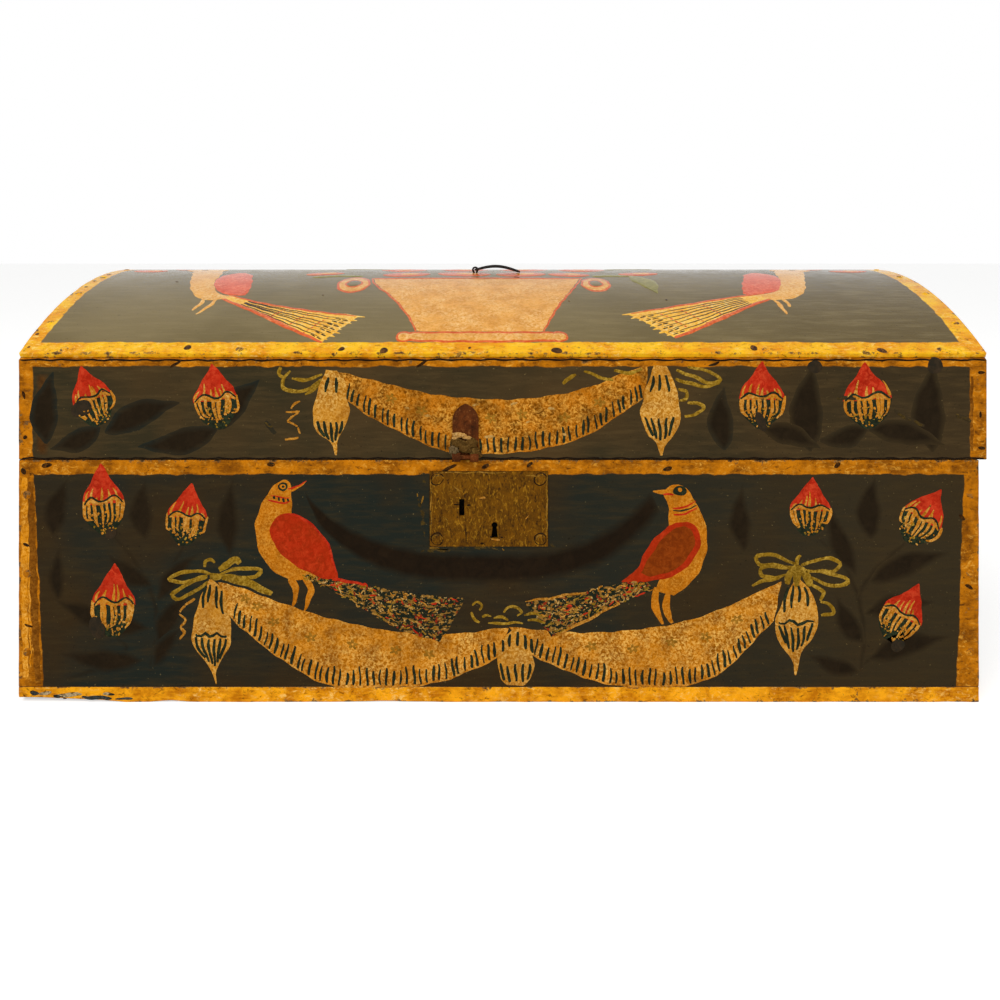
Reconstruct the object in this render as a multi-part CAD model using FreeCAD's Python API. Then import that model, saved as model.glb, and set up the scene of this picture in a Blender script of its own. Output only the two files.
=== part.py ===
import FreeCAD, Part
import math
import os

# A small painted coffer for papers and keepsakes: nailed beech boards, a lid whose thin top board is bent
# over arched ends, an iron hasp lock let into the front, wire-loop hinges and a lift ring on a wire staple.
# Millimetres. X runs along the front to the right, Y from the front to the back, Z up.
# The origin is the middle of the underside.

Vector = FreeCAD.Vector

# Base boards
base_length = 500.0
depth = 285.0
base_height = 126.0
wall = 9.0
bottom_thickness = 8.0

# Lid boards; the lid is longer than the base, flush with it at the left and over it at the right
lid_overhang = 4.0
lid_wall_height = 55.4
lid_rise = 37.0
top_thickness = 3.2
seat_gap = 0.4

# Forged nails: square tapering shank, faceted rose head
nail_shank = 2.0
nail_tip_share = 0.4
nail_head = 4.2
nail_head_rise = 0.5
nail_bite = 14.0
corner_nail_margin = 18.0
base_nails_per_corner = 3
lid_nails_per_corner = 2
bottom_nails_per_side = 5
bottom_nails_per_end = 2
top_nails_per_side = 6
top_nails_per_end = 7
top_nail_bite = 5.0
top_nail_inset = 3.0
sprig_shank = 1.6

# Lock plate, let into the front board
plate_width = 61.4
plate_height = 39.0
plate_thickness = 1.4
plate_proud = 0.4
plate_offset = -5.2
plate_drop = 5.8
plate_fit = 0.15
plate_nail_inset = 3.8
plate_nail_head = 5.6
plate_nail_shank = 1.8
plate_nail_length = 6.5

# Hasp slot and keyhole, measured from the middle of the base and down from its rim
hasp_offset = -19.3
slot_width = 2.8
slot_height = 8.7
slot_drop = 24.5
key_offset = -2.2
key_drop = 33.7
key_bow_radius = 1.6
key_skirt_length = 6.6
key_skirt_top = 1.8
key_skirt_foot = 3.6

# Lock works behind the plate
mortise_margin = 5.7
mortise_floor_margin = 3.4
bolt_height = 7.0
bolt_thickness = 3.0
bolt_length = 34.0
bolt_retreat = 1.5
bolt_behind_plate = 2.0
talon_width = 8.0
talon_depth = 2.2
works_clearance = 0.3
guide_width = 4.0
guide_metal = 1.0
guide_inset = 6.0
spring_metal = 0.8
spring_width = 3.0
spring_radius = 30.0
spring_reach_left = 3.0
spring_reach_right = 15.0
spring_touch = -4.0
spring_foot = 2.2
cover_metal = 1.2
cover_lap = 4.0
cover_corner = 3.0
cover_nail_inset = 2.4
cover_nail_head = 3.2
cover_nail_shank = 1.4
cover_nail_length = 5.5
key_tip_radius = 1.7

# Hasp: fixed leaf on the lid with two knuckles and the pin; the hanging leaf is lost
hasp_width = 13.6
hasp_height = 29.0
hasp_metal = 1.2
hasp_shoulder = 8.0
hasp_point = 1.2
knuckle_radius = 2.3
knuckle_width = 4.2
knuckle_stand_off = 0.3
knuckle_drop = 0.6
hasp_pin_radius = 1.1
hasp_pin_clearance = 0.08
hasp_nail_head = 3.4
hasp_nail_shank = 1.5
hasp_nail_length = 7.0
hasp_nail_inset = 5.0

# Wire hinges: two interlinked wire eyes at each hinge, their legs driven through the back boards
hinge_spread = 300.0
hinge_offset = 4.0
hinge_wire_radius = 0.9
hinge_eye_radius = 2.6
hinge_leg_gap = 0.6
hinge_tail = 7.0
hinge_lean_deg = 45.0

# Lift ring on its staple, just in front of the lid's crest
staple_offset = -17.0
staple_y = -24.0
staple_wire_radius = 0.6
staple_eye_radius = 1.5
staple_stand_off = 0.1
staple_leg_gap = 0.6
staple_tail = 6.0
ring_wire_radius = 0.6
ring_length = 28.0
ring_width = 18.0
ring_arch = 2.8
ring_rest_gap = 0.4
ring_points = 24

# Wire bends
wire_blend = 1.5
wire_bend = 2.0
wire_hole_clearance = 0.1

# Places that follow from the sizes above
front = -depth / 2
back = depth / 2
rim = base_height
lid_rim = rim + seat_gap
lid_eave = lid_rim + lid_wall_height
crest = lid_eave + lid_rise
arc_radius = ((depth / 2) ** 2 + lid_rise**2) / (2 * lid_rise)
arc_centre = crest - arc_radius
inner_radius = arc_radius - top_thickness
lid_length = base_length + lid_overhang
lid_shift = lid_overhang / 2
lid_left = lid_shift - lid_length / 2
lid_right = lid_shift + lid_length / 2


def box(x, y, z):
    """A block between two values on each axis."""
    return Part.makeBox(x[1] - x[0], y[1] - y[0], z[1] - z[0], Vector(x[0], y[0], z[0]))


def both_sides(value):
    """The same distance to the left and to the right."""
    return (-value, value)


def spread(low, high, count):
    """Evenly spaced places from low to high."""
    return [low + (high - low) * i / (count - 1) for i in range(count)]


def arc_z(radius, y):
    """Height of the lid's arc of that radius at a place between front and back."""
    return arc_centre + math.sqrt(radius**2 - y**2)


def lid_arc(radius, x, y_from, y_to):
    """The lid's arc, as an edge in the plane at x."""
    places = (y_from, (y_from + y_to) / 2, y_to)
    points = [Vector(x, y, arc_z(radius, y)) for y in places]
    return Part.Arc(*points).toShape()


def line(*points):
    """A run of straight edges through the points."""
    return [Part.LineSegment(p, q).toShape() for p, q in zip(points, points[1:])]


def extruded(edges, vector):
    """A solid from a closed flat outline."""
    ordered = Part.__sortEdges__(edges)
    return Part.Face(Part.Wire(ordered)).extrude(vector)


def polygon(sides, width, z):
    """A regular outline of that width across its flats, square to Z."""
    reach = width / 2 / math.cos(math.pi / sides)
    turn = math.pi / sides
    step = 2 * math.pi / sides
    points = [Vector(reach * math.cos(turn + i * step), reach * math.sin(turn + i * step), z)
              for i in range(sides)]
    return Part.makePolygon(points + points[:1])


def nail(point, inward, length, shank, head=0.0, rise=nail_head_rise):
    """A forged nail with the seat of its head at the point; one with no head is a sprig, driven flush."""
    tip = shank * nail_tip_share
    made = Part.makeLoft([polygon(4, shank, 0), polygon(4, tip, length)], True, True)
    if head:
        rose = Part.makeLoft([polygon(8, head, 0), polygon(8, head / 2, -rise)], True, True)
        made = made.fuse(rose).removeSplitter()
    made.Placement = FreeCAD.Placement(point, FreeCAD.Rotation(Vector(0, 0, 1), inward))
    return made


def rounded_run(start, corner, end, radius):
    """Two straight runs with an arc of that radius at their corner, as edges from start to end."""
    into = (corner - start).normalize()
    out = (end - corner).normalize()
    turn = into.getAngle(out)
    setback = radius * math.tan(turn / 2)
    before = corner - into * setback
    after = corner + out * setback
    centre = corner + (out - into).normalize() * (radius / math.cos(turn / 2))
    middle = centre + (corner - centre).normalize() * radius
    return [Part.LineSegment(start, before).toShape(),
            Part.Arc(before, middle, after).toShape(),
            Part.LineSegment(after, end).toShape()]


def wire_eye(centre, along, across, eye_radius, wire_radius, leg_gap, leg_length, tails, tail_length):
    """A split wire pin: an eye about the centre and two legs that run along, then bend over to their tails."""
    half = wire_radius + leg_gap / 2
    blend_out = half + wire_blend
    blend_along = math.sqrt((eye_radius + wire_blend) ** 2 - blend_out**2)
    opening = math.atan2(blend_out, blend_along)

    def place(u, v):
        return centre + along * u + across * v

    def on_eye(angle):
        return place(eye_radius * math.cos(angle), eye_radius * math.sin(angle))

    def half_blend(side):
        """Middle of the blend between the eye and one leg."""
        angle = math.pi + (opening + math.pi / 2) / 2
        middle = (blend_along + wire_blend * math.cos(angle), blend_out + wire_blend * math.sin(angle))
        return place(middle[0], side * middle[1])

    def leg(side, tail):
        """One leg from its blend to the end of its tail."""
        start = place(blend_along, side * half)
        corner = place(leg_length, side * half)
        return rounded_run(start, corner, corner + tail * tail_length, wire_bend)

    def blend(side):
        return Part.Arc(on_eye(side * opening), half_blend(side), place(blend_along, side * half)).toShape()

    eye = Part.Arc(on_eye(opening), on_eye(math.pi), on_eye(-opening)).toShape()
    edges = leg(1, tails[0]) + [blend(1), eye, blend(-1)] + leg(-1, tails[1])
    path = Part.Wire(Part.__sortEdges__(edges))
    first = place(leg_length, half) + tails[0] * tail_length

    def made(radius):
        section = Part.Wire(Part.Circle(first, tails[0], radius).toShape())
        return path.makePipeShell([section], True, False)

    return made(wire_radius), made(wire_radius + wire_hole_clearance)


def cut_all(shape, tools):
    """The shape with every tool cut out of it."""
    return shape.cut(Part.makeCompound(tools)) if tools else shape


pieces = {}

# Corner and bottom nails of the base
left_end_x = -base_length / 2 + wall / 2
corner_heights = spread(bottom_thickness + corner_nail_margin, rim - corner_nail_margin, base_nails_per_corner)
base_corner_nails = {}
for side, y, inward in (("front", front, Vector(0, 1, 0)), ("back", back, Vector(0, -1, 0))):
    base_corner_nails[side] = [nail(Vector(x, y, z), inward, wall + nail_bite, nail_shank, nail_head)
                               for x in both_sides(left_end_x) for z in corner_heights]
    pieces[f"base_{side}_nails"] = Part.makeCompound(base_corner_nails[side])

side_x = spread(left_end_x + corner_nail_margin, -left_end_x - corner_nail_margin, bottom_nails_per_side)
end_y = spread(front + wall + corner_nail_margin, back - wall - corner_nail_margin, bottom_nails_per_end)
bottom_places = [Vector(x, y, 0) for x in side_x for y in (front + wall / 2, back - wall / 2)]
bottom_places += [Vector(x, y, 0) for x in both_sides(left_end_x) for y in end_y]
bottom_sprigs = [nail(p, Vector(0, 0, 1), bottom_thickness + nail_bite, sprig_shank) for p in bottom_places]
pieces["bottom_nails"] = Part.makeCompound(bottom_sprigs)

# Lock plate with its slot and keyhole, and the recess and mortise that take it
plate_x = (plate_offset - plate_width / 2, plate_offset + plate_width / 2)
plate_z = (rim - plate_drop - plate_height, rim - plate_drop)
plate_front = front - plate_proud
plate_back = plate_front + plate_thickness
slot_z = rim - slot_drop
key_z = rim - key_drop


def keyhole(y_from, y_to):
    """A round bow over a skirt that flares to its foot."""
    bow = Part.makeCylinder(key_bow_radius, y_to - y_from, Vector(key_offset, y_from, key_z), Vector(0, 1, 0))
    foot_z = key_z - key_skirt_length
    skirt = line(Vector(key_offset - key_skirt_top / 2, y_from, key_z),
                 Vector(key_offset + key_skirt_top / 2, y_from, key_z),
                 Vector(key_offset + key_skirt_foot / 2, y_from, foot_z),
                 Vector(key_offset - key_skirt_foot / 2, y_from, foot_z),
                 Vector(key_offset - key_skirt_top / 2, y_from, key_z))
    return bow.fuse(extruded(skirt, Vector(0, y_to - y_from, 0)))


plate_nails = [nail(Vector(x, plate_front, z), Vector(0, 1, 0), plate_nail_length, plate_nail_shank, plate_nail_head)
               for x in (plate_x[0] + plate_nail_inset, plate_x[1] - plate_nail_inset)
               for z in (plate_z[0] + plate_nail_inset, plate_z[1] - plate_nail_inset)]
pieces["lock_plate_nails"] = Part.makeCompound(plate_nails)

slot = box((hasp_offset - slot_width / 2, hasp_offset + slot_width / 2), (plate_front, plate_back),
           (slot_z - slot_height / 2, slot_z + slot_height / 2))
plate = box(plate_x, (plate_front, plate_back), plate_z)
pieces["lock_plate"] = cut_all(plate, [slot, keyhole(plate_front, plate_back)] + plate_nails)

plate_recess = box((plate_x[0] - plate_fit, plate_x[1] + plate_fit), (front, plate_back),
                   (plate_z[0] - plate_fit, plate_z[1] + plate_fit))
mortise_x = (plate_x[0] + mortise_margin, plate_x[1] - mortise_margin)
mortise_z = (plate_z[0] + mortise_floor_margin, plate_z[1] - mortise_margin)
inner_face = front + wall
mortise = box(mortise_x, (front, inner_face), mortise_z)

# Lock works: sliding bolt, its two guides, leaf spring and the cover inside the box
bolt_x = (hasp_offset + slot_width / 2 + bolt_retreat, hasp_offset + slot_width / 2 + bolt_retreat + bolt_length)
bolt_y = (plate_back + bolt_behind_plate, plate_back + bolt_behind_plate + bolt_thickness)
bolt_z = (slot_z - bolt_height / 2, slot_z + bolt_height / 2)
bolt = box(bolt_x, bolt_y, bolt_z)
talon = box((key_offset - talon_width / 2, key_offset + talon_width / 2), bolt_y, (bolt_z[0], bolt_z[0] + talon_depth))
pieces["lock_bolt"] = bolt.cut(talon)


def bolt_guide(x):
    """A strap over the bolt, its two feet against the back of the plate."""
    across = (x - guide_width / 2, x + guide_width / 2)
    inside_z = (bolt_z[0] - works_clearance, bolt_z[1] + works_clearance)
    outside_z = (inside_z[0] - guide_metal, inside_z[1] + guide_metal)
    inside_y = (plate_back, bolt_y[1] + works_clearance)
    strap = box(across, (plate_back, inside_y[1] + guide_metal), outside_z)
    return strap.cut(box(across, inside_y, inside_z))


guides = [bolt_guide(x) for x in (bolt_x[0] + guide_inset, bolt_x[1] - guide_inset)]
pieces["bolt_guides"] = Part.makeCompound(guides)


def leaf_spring():
    """A bowed leaf that bears down on the bolt, with a foot against the plate at its right end."""
    lowest = bolt_z[1] + works_clearance
    top = lowest + spring_radius
    ends = (spring_touch - spring_reach_left, spring_touch + spring_reach_right)
    y = bolt_y[0]

    def bow(radius):
        places = (ends[0], spring_touch, ends[1])
        return [Vector(x, y, top - math.sqrt(radius**2 - (x - spring_touch) ** 2)) for x in places]

    lower, upper = bow(spring_radius), bow(spring_radius - spring_metal)
    edges = [Part.Arc(*lower).toShape(), Part.Arc(*upper).toShape()]
    edges += line(lower[0], upper[0]) + line(lower[2], upper[2])
    leaf = extruded(edges, Vector(0, spring_width, 0))
    foot = box((ends[1] - spring_foot, ends[1]), (plate_back, y + spring_width),
               (lower[2].z, lower[2].z + spring_foot))
    return leaf.fuse(foot).removeSplitter()


pieces["bolt_spring"] = leaf_spring()

cover_x = (mortise_x[0] - cover_lap, mortise_x[1] + cover_lap)
cover_z = (mortise_z[0] - cover_lap, mortise_z[1] + cover_lap)
cover_back = inner_face + cover_metal
cover = box(cover_x, (inner_face, cover_back), cover_z)
upright = [e for e in cover.Edges if abs(e.tangentAt(0).y) > 0.99]
cover = cover.makeChamfer(cover_corner, upright)
key_tip = Part.makeCylinder(key_tip_radius, cover_metal, Vector(key_offset, inner_face, key_z), Vector(0, 1, 0))
cover_nails = [nail(Vector(x, cover_back, (cover_z[0] + cover_z[1]) / 2), Vector(0, -1, 0),
                    cover_nail_length, cover_nail_shank, cover_nail_head)
               for x in (cover_x[0] + cover_nail_inset, cover_x[1] - cover_nail_inset)]
pieces["lock_cover"] = cut_all(cover, [key_tip] + cover_nails)
pieces["lock_cover_nails"] = Part.makeCompound(cover_nails)

# Wire hinges: the base eye runs across, the lid eye stands upright and turns about its outer bend
lean = math.radians(hinge_lean_deg)
axis_y = back + hinge_offset
axis_z = (rim + lid_rim) / 2
base_along = Vector(0, -math.cos(lean), -math.sin(lean))
lid_along = Vector(0, -math.cos(lean), math.sin(lean))
lid_across = Vector(0, math.sin(lean), math.cos(lean))
tail_depth = hinge_wire_radius + wire_hole_clearance + hinge_leg_gap / 2
through = (hinge_offset + wall + tail_depth) / math.cos(lean)
base_eye_holes, lid_eye_holes = [], []
for side, x in zip(("left", "right"), both_sides(hinge_spread / 2)):
    axis_point = Vector(x, axis_y, axis_z)
    base_eye, hole = wire_eye(axis_point + base_along * hinge_eye_radius, base_along, Vector(1, 0, 0),
                              hinge_eye_radius, hinge_wire_radius, hinge_leg_gap, through - hinge_eye_radius,
                              (Vector(0, 0, -1), Vector(0, 0, -1)), hinge_tail)
    base_eye_holes.append(hole)
    pieces[f"{side}_hinge_base_eye"] = base_eye
    lid_eye, hole = wire_eye(axis_point, lid_along, lid_across,
                             hinge_eye_radius, hinge_wire_radius, hinge_leg_gap, through,
                             (Vector(0, 0, 1), Vector(0, 0, -1)), hinge_tail)
    lid_eye_holes.append(hole)
    pieces[f"{side}_hinge_lid_eye"] = lid_eye

# Base boards: front and back lap the ends and are nailed to them, the bottom is nailed on from below
full_x = both_sides(base_length / 2)
wall_z = (bottom_thickness, rim)
pieces["bottom_board"] = cut_all(box(full_x, (front, back), (0, bottom_thickness)), bottom_sprigs)
front_board = box(full_x, (front, front + wall), wall_z)
pieces["base_front_board"] = cut_all(front_board, base_corner_nails["front"] + bottom_sprigs + plate_nails
                                     + cover_nails + [plate_recess, mortise])
back_board = box(full_x, (back - wall, back), wall_z)
pieces["base_back_board"] = cut_all(back_board, base_corner_nails["back"] + bottom_sprigs + base_eye_holes)
end_nails = base_corner_nails["front"] + base_corner_nails["back"] + bottom_sprigs
for side, x in (("left", (-base_length / 2, wall - base_length / 2)),
                ("right", (base_length / 2 - wall, base_length / 2))):
    end = box(x, (front + wall, back - wall), wall_z)
    pieces[f"base_{side}_end"] = cut_all(end, end_nails)

# Lid nails: through front and back into the ends, and through the bent top into every board under it
lid_end_x = (lid_left + wall / 2, lid_right - wall / 2)
lid_heights = spread(lid_rim + corner_nail_margin, lid_eave - corner_nail_margin, lid_nails_per_corner)
lid_corner_nails = {}
for side, y, inward in (("front", front, Vector(0, 1, 0)), ("back", back, Vector(0, -1, 0))):
    lid_corner_nails[side] = [nail(Vector(x, y, z), inward, wall + nail_bite, nail_shank, nail_head)
                              for x in lid_end_x for z in lid_heights]
    pieces[f"lid_{side}_nails"] = Part.makeCompound(lid_corner_nails[side])


def top_nail(x, y):
    """A nail square to the bent top board at that place."""
    seat = Vector(x, y, arc_z(arc_radius, y))
    inward = (Vector(x, 0, arc_centre) - seat).normalize()
    return nail(seat, inward, top_thickness + top_nail_bite, nail_shank, nail_head)


edge_x = spread(lid_end_x[0] + corner_nail_margin, lid_end_x[1] - corner_nail_margin, top_nails_per_side)
edge_y = spread(front + wall + corner_nail_margin, back - wall - corner_nail_margin, top_nails_per_end)
top_nails = [top_nail(x, y) for x in edge_x for y in (front + top_nail_inset, back - top_nail_inset)]
top_nails += [top_nail(x, y) for x in lid_end_x for y in edge_y]
pieces["lid_top_nails"] = Part.makeCompound(top_nails)

# Hasp leaf on the lid: arched head, two knuckles at the rim and the pin left in them
hasp_x = lid_shift + hasp_offset
hasp_z = (lid_rim + knuckle_radius, lid_rim + hasp_height)
leaf_front = front - hasp_metal
knuckle_y = front - knuckle_stand_off - knuckle_radius
knuckle_z = lid_rim + knuckle_radius - knuckle_drop


def hasp_leaf_blank():
    """The leaf's flat outline: straight sides up to the shoulders, then two arcs to a blunt point."""
    half = hasp_width / 2
    shoulder = hasp_z[1] - hasp_shoulder
    lift = hasp_shoulder - hasp_point

    def at(x, z):
        return Vector(hasp_x + x, leaf_front, z)

    def shoulder_arc(side):
        middle = at(side * half * math.cos(math.pi / 4), shoulder + lift * math.sin(math.pi / 4))
        return Part.Arc(at(side * half, shoulder), middle, at(0, hasp_z[1])).toShape()

    edges = line(at(-half, shoulder), at(-half, hasp_z[0]), at(half, hasp_z[0]), at(half, shoulder))
    return extruded(edges + [shoulder_arc(1), shoulder_arc(-1)], Vector(0, hasp_metal, 0))


def knuckle(x_from):
    """A rolled barrel with the tongue that joins it to the leaf."""
    centre = Vector(x_from, knuckle_y, knuckle_z)
    barrel = Part.makeCylinder(knuckle_radius, knuckle_width, centre, Vector(1, 0, 0))
    tongue = box((x_from, x_from + knuckle_width), (leaf_front, front), (lid_rim + knuckle_drop, hasp_z[0]))
    bore = Part.makeCylinder(hasp_pin_radius + hasp_pin_clearance, knuckle_width, centre, Vector(1, 0, 0))
    return barrel.fuse(tongue).cut(bore)


hasp_nails = [nail(Vector(hasp_x, leaf_front, z), Vector(0, 1, 0), hasp_nail_length, hasp_nail_shank, hasp_nail_head)
              for z in (hasp_z[1] - hasp_shoulder, hasp_z[0] + hasp_nail_inset)]
knuckle_places = (hasp_x - hasp_width / 2, hasp_x + hasp_width / 2 - knuckle_width)
leaf = hasp_leaf_blank()
for place in knuckle_places:
    leaf = leaf.fuse(knuckle(place))
pieces["hasp_leaf"] = cut_all(leaf, hasp_nails)
pieces["hasp_nails"] = Part.makeCompound(hasp_nails)
pieces["hasp_pin"] = Part.makeCylinder(hasp_pin_radius, hasp_width, Vector(knuckle_places[0], knuckle_y, knuckle_z),
                                       Vector(1, 0, 0))

# Lift ring and its staple; the ring's wire passes through the staple's eye and lies over to the right
staple_x = lid_shift + staple_offset
staple_seat = arc_z(arc_radius, staple_y)
eye_z = staple_seat + staple_eye_radius + staple_wire_radius + staple_stand_off
staple_reach = (eye_z - arc_z(inner_radius, staple_y) + staple_wire_radius + wire_hole_clearance
                + staple_leg_gap / 2)
staple, staple_hole = wire_eye(Vector(staple_x, staple_y, eye_z), Vector(0, 0, -1), Vector(1, 0, 0),
                               staple_eye_radius, staple_wire_radius, staple_leg_gap, staple_reach,
                               (Vector(1, 0, 0), Vector(-1, 0, 0)), staple_tail)
pieces["ring_staple"] = staple


def ring_point(angle):
    """An oval seen from above that starts in the eye, arches up and comes down on the lid at its far end."""
    share = (1 - math.cos(angle)) / 2
    drop = eye_z - staple_seat - ring_wire_radius - ring_rest_gap
    return Vector(staple_x + ring_length * share, staple_y + ring_width / 2 * math.sin(angle),
                  eye_z + ring_arch * math.sin(math.pi * share) - drop * share)


def swept_ring():
    """Wire swept round the oval in two halves of one smooth closed line, joined end to end."""
    whole = Part.BSplineCurve()
    whole.interpolate([ring_point(2 * math.pi * i / ring_points) for i in range(ring_points)], PeriodicFlag=True)
    begin, end = whole.FirstParameter, whole.LastParameter
    halves = []
    for start, stop in ((begin, (begin + end) / 2), ((begin + end) / 2, end)):
        facing = Vector(*whole.tangent(start)[0])
        section = Part.Wire(Part.Circle(whole.value(start), facing, ring_wire_radius).toShape())
        halves.append(Part.Wire(whole.toShape(start, stop)).makePipeShell([section], True, False))
    return halves[0].fuse(halves[1])


pieces["lift_ring"] = swept_ring()

# Lid boards: straight front and back, arched ends between them, and the bent top over all four
lid_x = (lid_left, lid_right)


def under_arc(x, y):
    """A board that stands on the lid's rim and ends under the bent top."""
    ends = [Vector(x[0], place, arc_z(inner_radius, place)) for place in y]
    feet = [Vector(x[0], place, lid_rim) for place in y]
    edges = line(ends[0], feet[0], feet[1], ends[1]) + [lid_arc(inner_radius, x[0], *y)]
    return extruded(edges, Vector(x[1] - x[0], 0, 0))


pieces["lid_front_board"] = cut_all(under_arc(lid_x, (front, front + wall)),
                                    lid_corner_nails["front"] + top_nails + hasp_nails)
pieces["lid_back_board"] = cut_all(under_arc(lid_x, (back - wall, back)),
                                   lid_corner_nails["back"] + top_nails + lid_eye_holes)
lid_end_nails = lid_corner_nails["front"] + lid_corner_nails["back"] + top_nails
for side, x in (("left", (lid_left, lid_left + wall)), ("right", (lid_right - wall, lid_right))):
    pieces[f"lid_{side}_end"] = cut_all(under_arc(x, (front + wall, back - wall)), lid_end_nails)

top_edges = [lid_arc(arc_radius, lid_left, front, back), lid_arc(inner_radius, lid_left, front, back)]
for y in (front, back):
    top_edges += line(Vector(lid_left, y, arc_z(arc_radius, y)), Vector(lid_left, y, arc_z(inner_radius, y)))
top_board = extruded(top_edges, Vector(lid_length, 0, 0))
pieces["lid_top_board"] = cut_all(top_board, top_nails + [staple_hole])

os.makedirs("parts", exist_ok=True)
for name, shape in pieces.items():
    solids = Part.makeCompound(shape.Solids)
    solids.exportStep(f"parts/{name}.step")
    print(f"{name}: {len(shape.Solids)} solids, {shape.Volume:.1f} mm3, valid {shape.isValid()}")
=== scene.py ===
import math
import bmesh
import bpy
import numpy as np
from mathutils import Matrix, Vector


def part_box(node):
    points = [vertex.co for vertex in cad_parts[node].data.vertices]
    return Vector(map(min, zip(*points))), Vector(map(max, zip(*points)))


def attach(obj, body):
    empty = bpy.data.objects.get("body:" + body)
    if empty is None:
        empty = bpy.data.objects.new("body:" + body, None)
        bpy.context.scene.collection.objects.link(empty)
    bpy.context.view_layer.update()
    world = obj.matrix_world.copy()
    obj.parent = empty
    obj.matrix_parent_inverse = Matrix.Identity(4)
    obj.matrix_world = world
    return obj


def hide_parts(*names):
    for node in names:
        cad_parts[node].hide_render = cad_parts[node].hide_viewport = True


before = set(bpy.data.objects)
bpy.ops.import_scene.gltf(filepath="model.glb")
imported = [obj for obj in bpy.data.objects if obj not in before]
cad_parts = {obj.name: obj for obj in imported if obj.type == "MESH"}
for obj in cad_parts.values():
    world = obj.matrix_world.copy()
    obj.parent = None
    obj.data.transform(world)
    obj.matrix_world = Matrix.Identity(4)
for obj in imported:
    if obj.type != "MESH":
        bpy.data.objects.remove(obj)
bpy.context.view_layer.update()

# Bottom board: one beech plank under all four walls, sawn square and nailed on from below.
# Its edges show round the foot of the box in the ochre of the borders, rubbed to bare wood,
# and the front arris is worn away for some 55 mm at the left corner.


def node_box(node):
    """A CAD node's lowest and highest corners, in millimetres."""
    low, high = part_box(node)
    return np.array(low) * 1000, np.array(high) * 1000


def colour(code):
    """An sRGB hex colour as linear red, green, blue and alpha."""
    channels = np.array([int(code[i:i + 2], 16) for i in (1, 3, 5)]) / 255
    linear = np.where(channels <= 0.04045, channels / 12.92, ((channels + 0.055) / 1.055) ** 2.4)
    return (*linear.tolist(), 1.0)


def add(tree, kind, *inputs, output=0, named=None, **settings):
    """Adds one shader node with its settings and gives one of its outputs.

    Inputs are values or other nodes' outputs, in the node's own order or by name.
    """
    made = tree.nodes.new("ShaderNode" + kind)
    for name, value in settings.items():
        setattr(made, name, value)
    for place, value in [*enumerate(inputs), *(named or {}).items()]:
        if isinstance(value, bpy.types.NodeSocket):
            tree.links.new(value, made.inputs[place])
        else:
            made.inputs[place].default_value = value
    return made.outputs[output]


def start_material(name):
    """A new material with its node tree."""
    made = bpy.data.materials.new(name)
    made.use_nodes = True
    return made, made.node_tree


def noise(tree, size, detail=3.0, rough=0.55, stretch=(1, 1, 1), shift=0.0, twist=0.0):
    """Noise from 0 to 1 with lumps of about that many millimetres.

    The lumps are longer along a stretched axis and curled by a twist.
    """
    scale = tuple(1000 / size / part for part in stretch)
    place = add(tree, "TexCoord", output="Object")
    mapped = add(tree, "Mapping", place, named={"Location": (shift, shift, shift), "Scale": scale})
    return add(tree, "TexNoise", mapped,
               named={"Scale": 1.0, "Detail": detail, "Roughness": rough, "Distortion": twist})


def rim_distance(tree):
    """The piece's own attribute: millimetres to the nearest edge."""
    return add(tree, "Attribute", output="Fac", attribute_name="rim")


def surface(tree, base, rough, height, bump_mm, gloss):
    """Sets the shader's colour, roughness and gloss, and a bump of that depth."""
    shader = tree.nodes["Principled BSDF"]
    bump = add(tree, "Bump", named={"Height": height, "Distance": bump_mm / 1000, "Strength": 1.0})
    shader.inputs["Specular IOR Level"].default_value = gloss
    for name, value in (("Base Color", base), ("Roughness", rough), ("Normal", bump)):
        tree.links.new(value, shader.inputs[name])


def wood_colour(tree, along):
    """Aged beech and its streaks: brown, with darker streaks along the board, short flecks and stains."""
    streaks = noise(tree, 5.0, 4.0, 0.6, [14.0 if i == along else 1.0 for i in range(3)])
    flecks = noise(tree, 0.9, 2.0, 0.5, [3.5 if i == along else 1.0 for i in range(3)])
    streak_share = add(tree, "MapRange", streaks, 0.3, 0.7)
    fleck_share = add(tree, "MapRange", flecks, 0.6, 0.75, 0.0, 0.45)
    stain_share = add(tree, "MapRange", noise(tree, 70.0, 2.0), 0.35, 0.75, 0.0, 0.6)
    base = add(tree, "MixRGB", streak_share, colour("#6d4a29"), colour("#96703f"))
    base = add(tree, "MixRGB", fleck_share, base, colour("#4e3119"))
    return add(tree, "MixRGB", stain_share, base, colour("#503720"), blend_type="MULTIPLY"), streaks


def bare_wood(name, along):
    """Bare aged beech with its grain along one axis, dull and dry."""
    made, tree = start_material(name)
    base, streaks = wood_colour(tree, along)
    surface(tree, base, add(tree, "MapRange", streaks, 0.2, 0.8, 0.62, 0.82), streaks, 0.25, 0.3)
    return made


border_ochre = ("#824906", "#c8780a", "#e8a63c", "#44260a")
foot_ochre = ("#c27408", "#ffae18", "#ffd070", "#66390a")
edge_ochre = ("#ec9608", "#ffc41a", "#ffe078", "#945a0e")
front_ground = ("#342715", "#20241e", "#40331c", "#392d1a")
lid_ground = ("#4a381f", "#342d1c", "#564428", "#392d1b")
# Lighter than the front's, partly painted varnish sheen; the darker fourth tone is painted shade to the right
top_ground = ("#80704a", "#72633e", "#8e7d55", "#5e4e2c")


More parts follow.
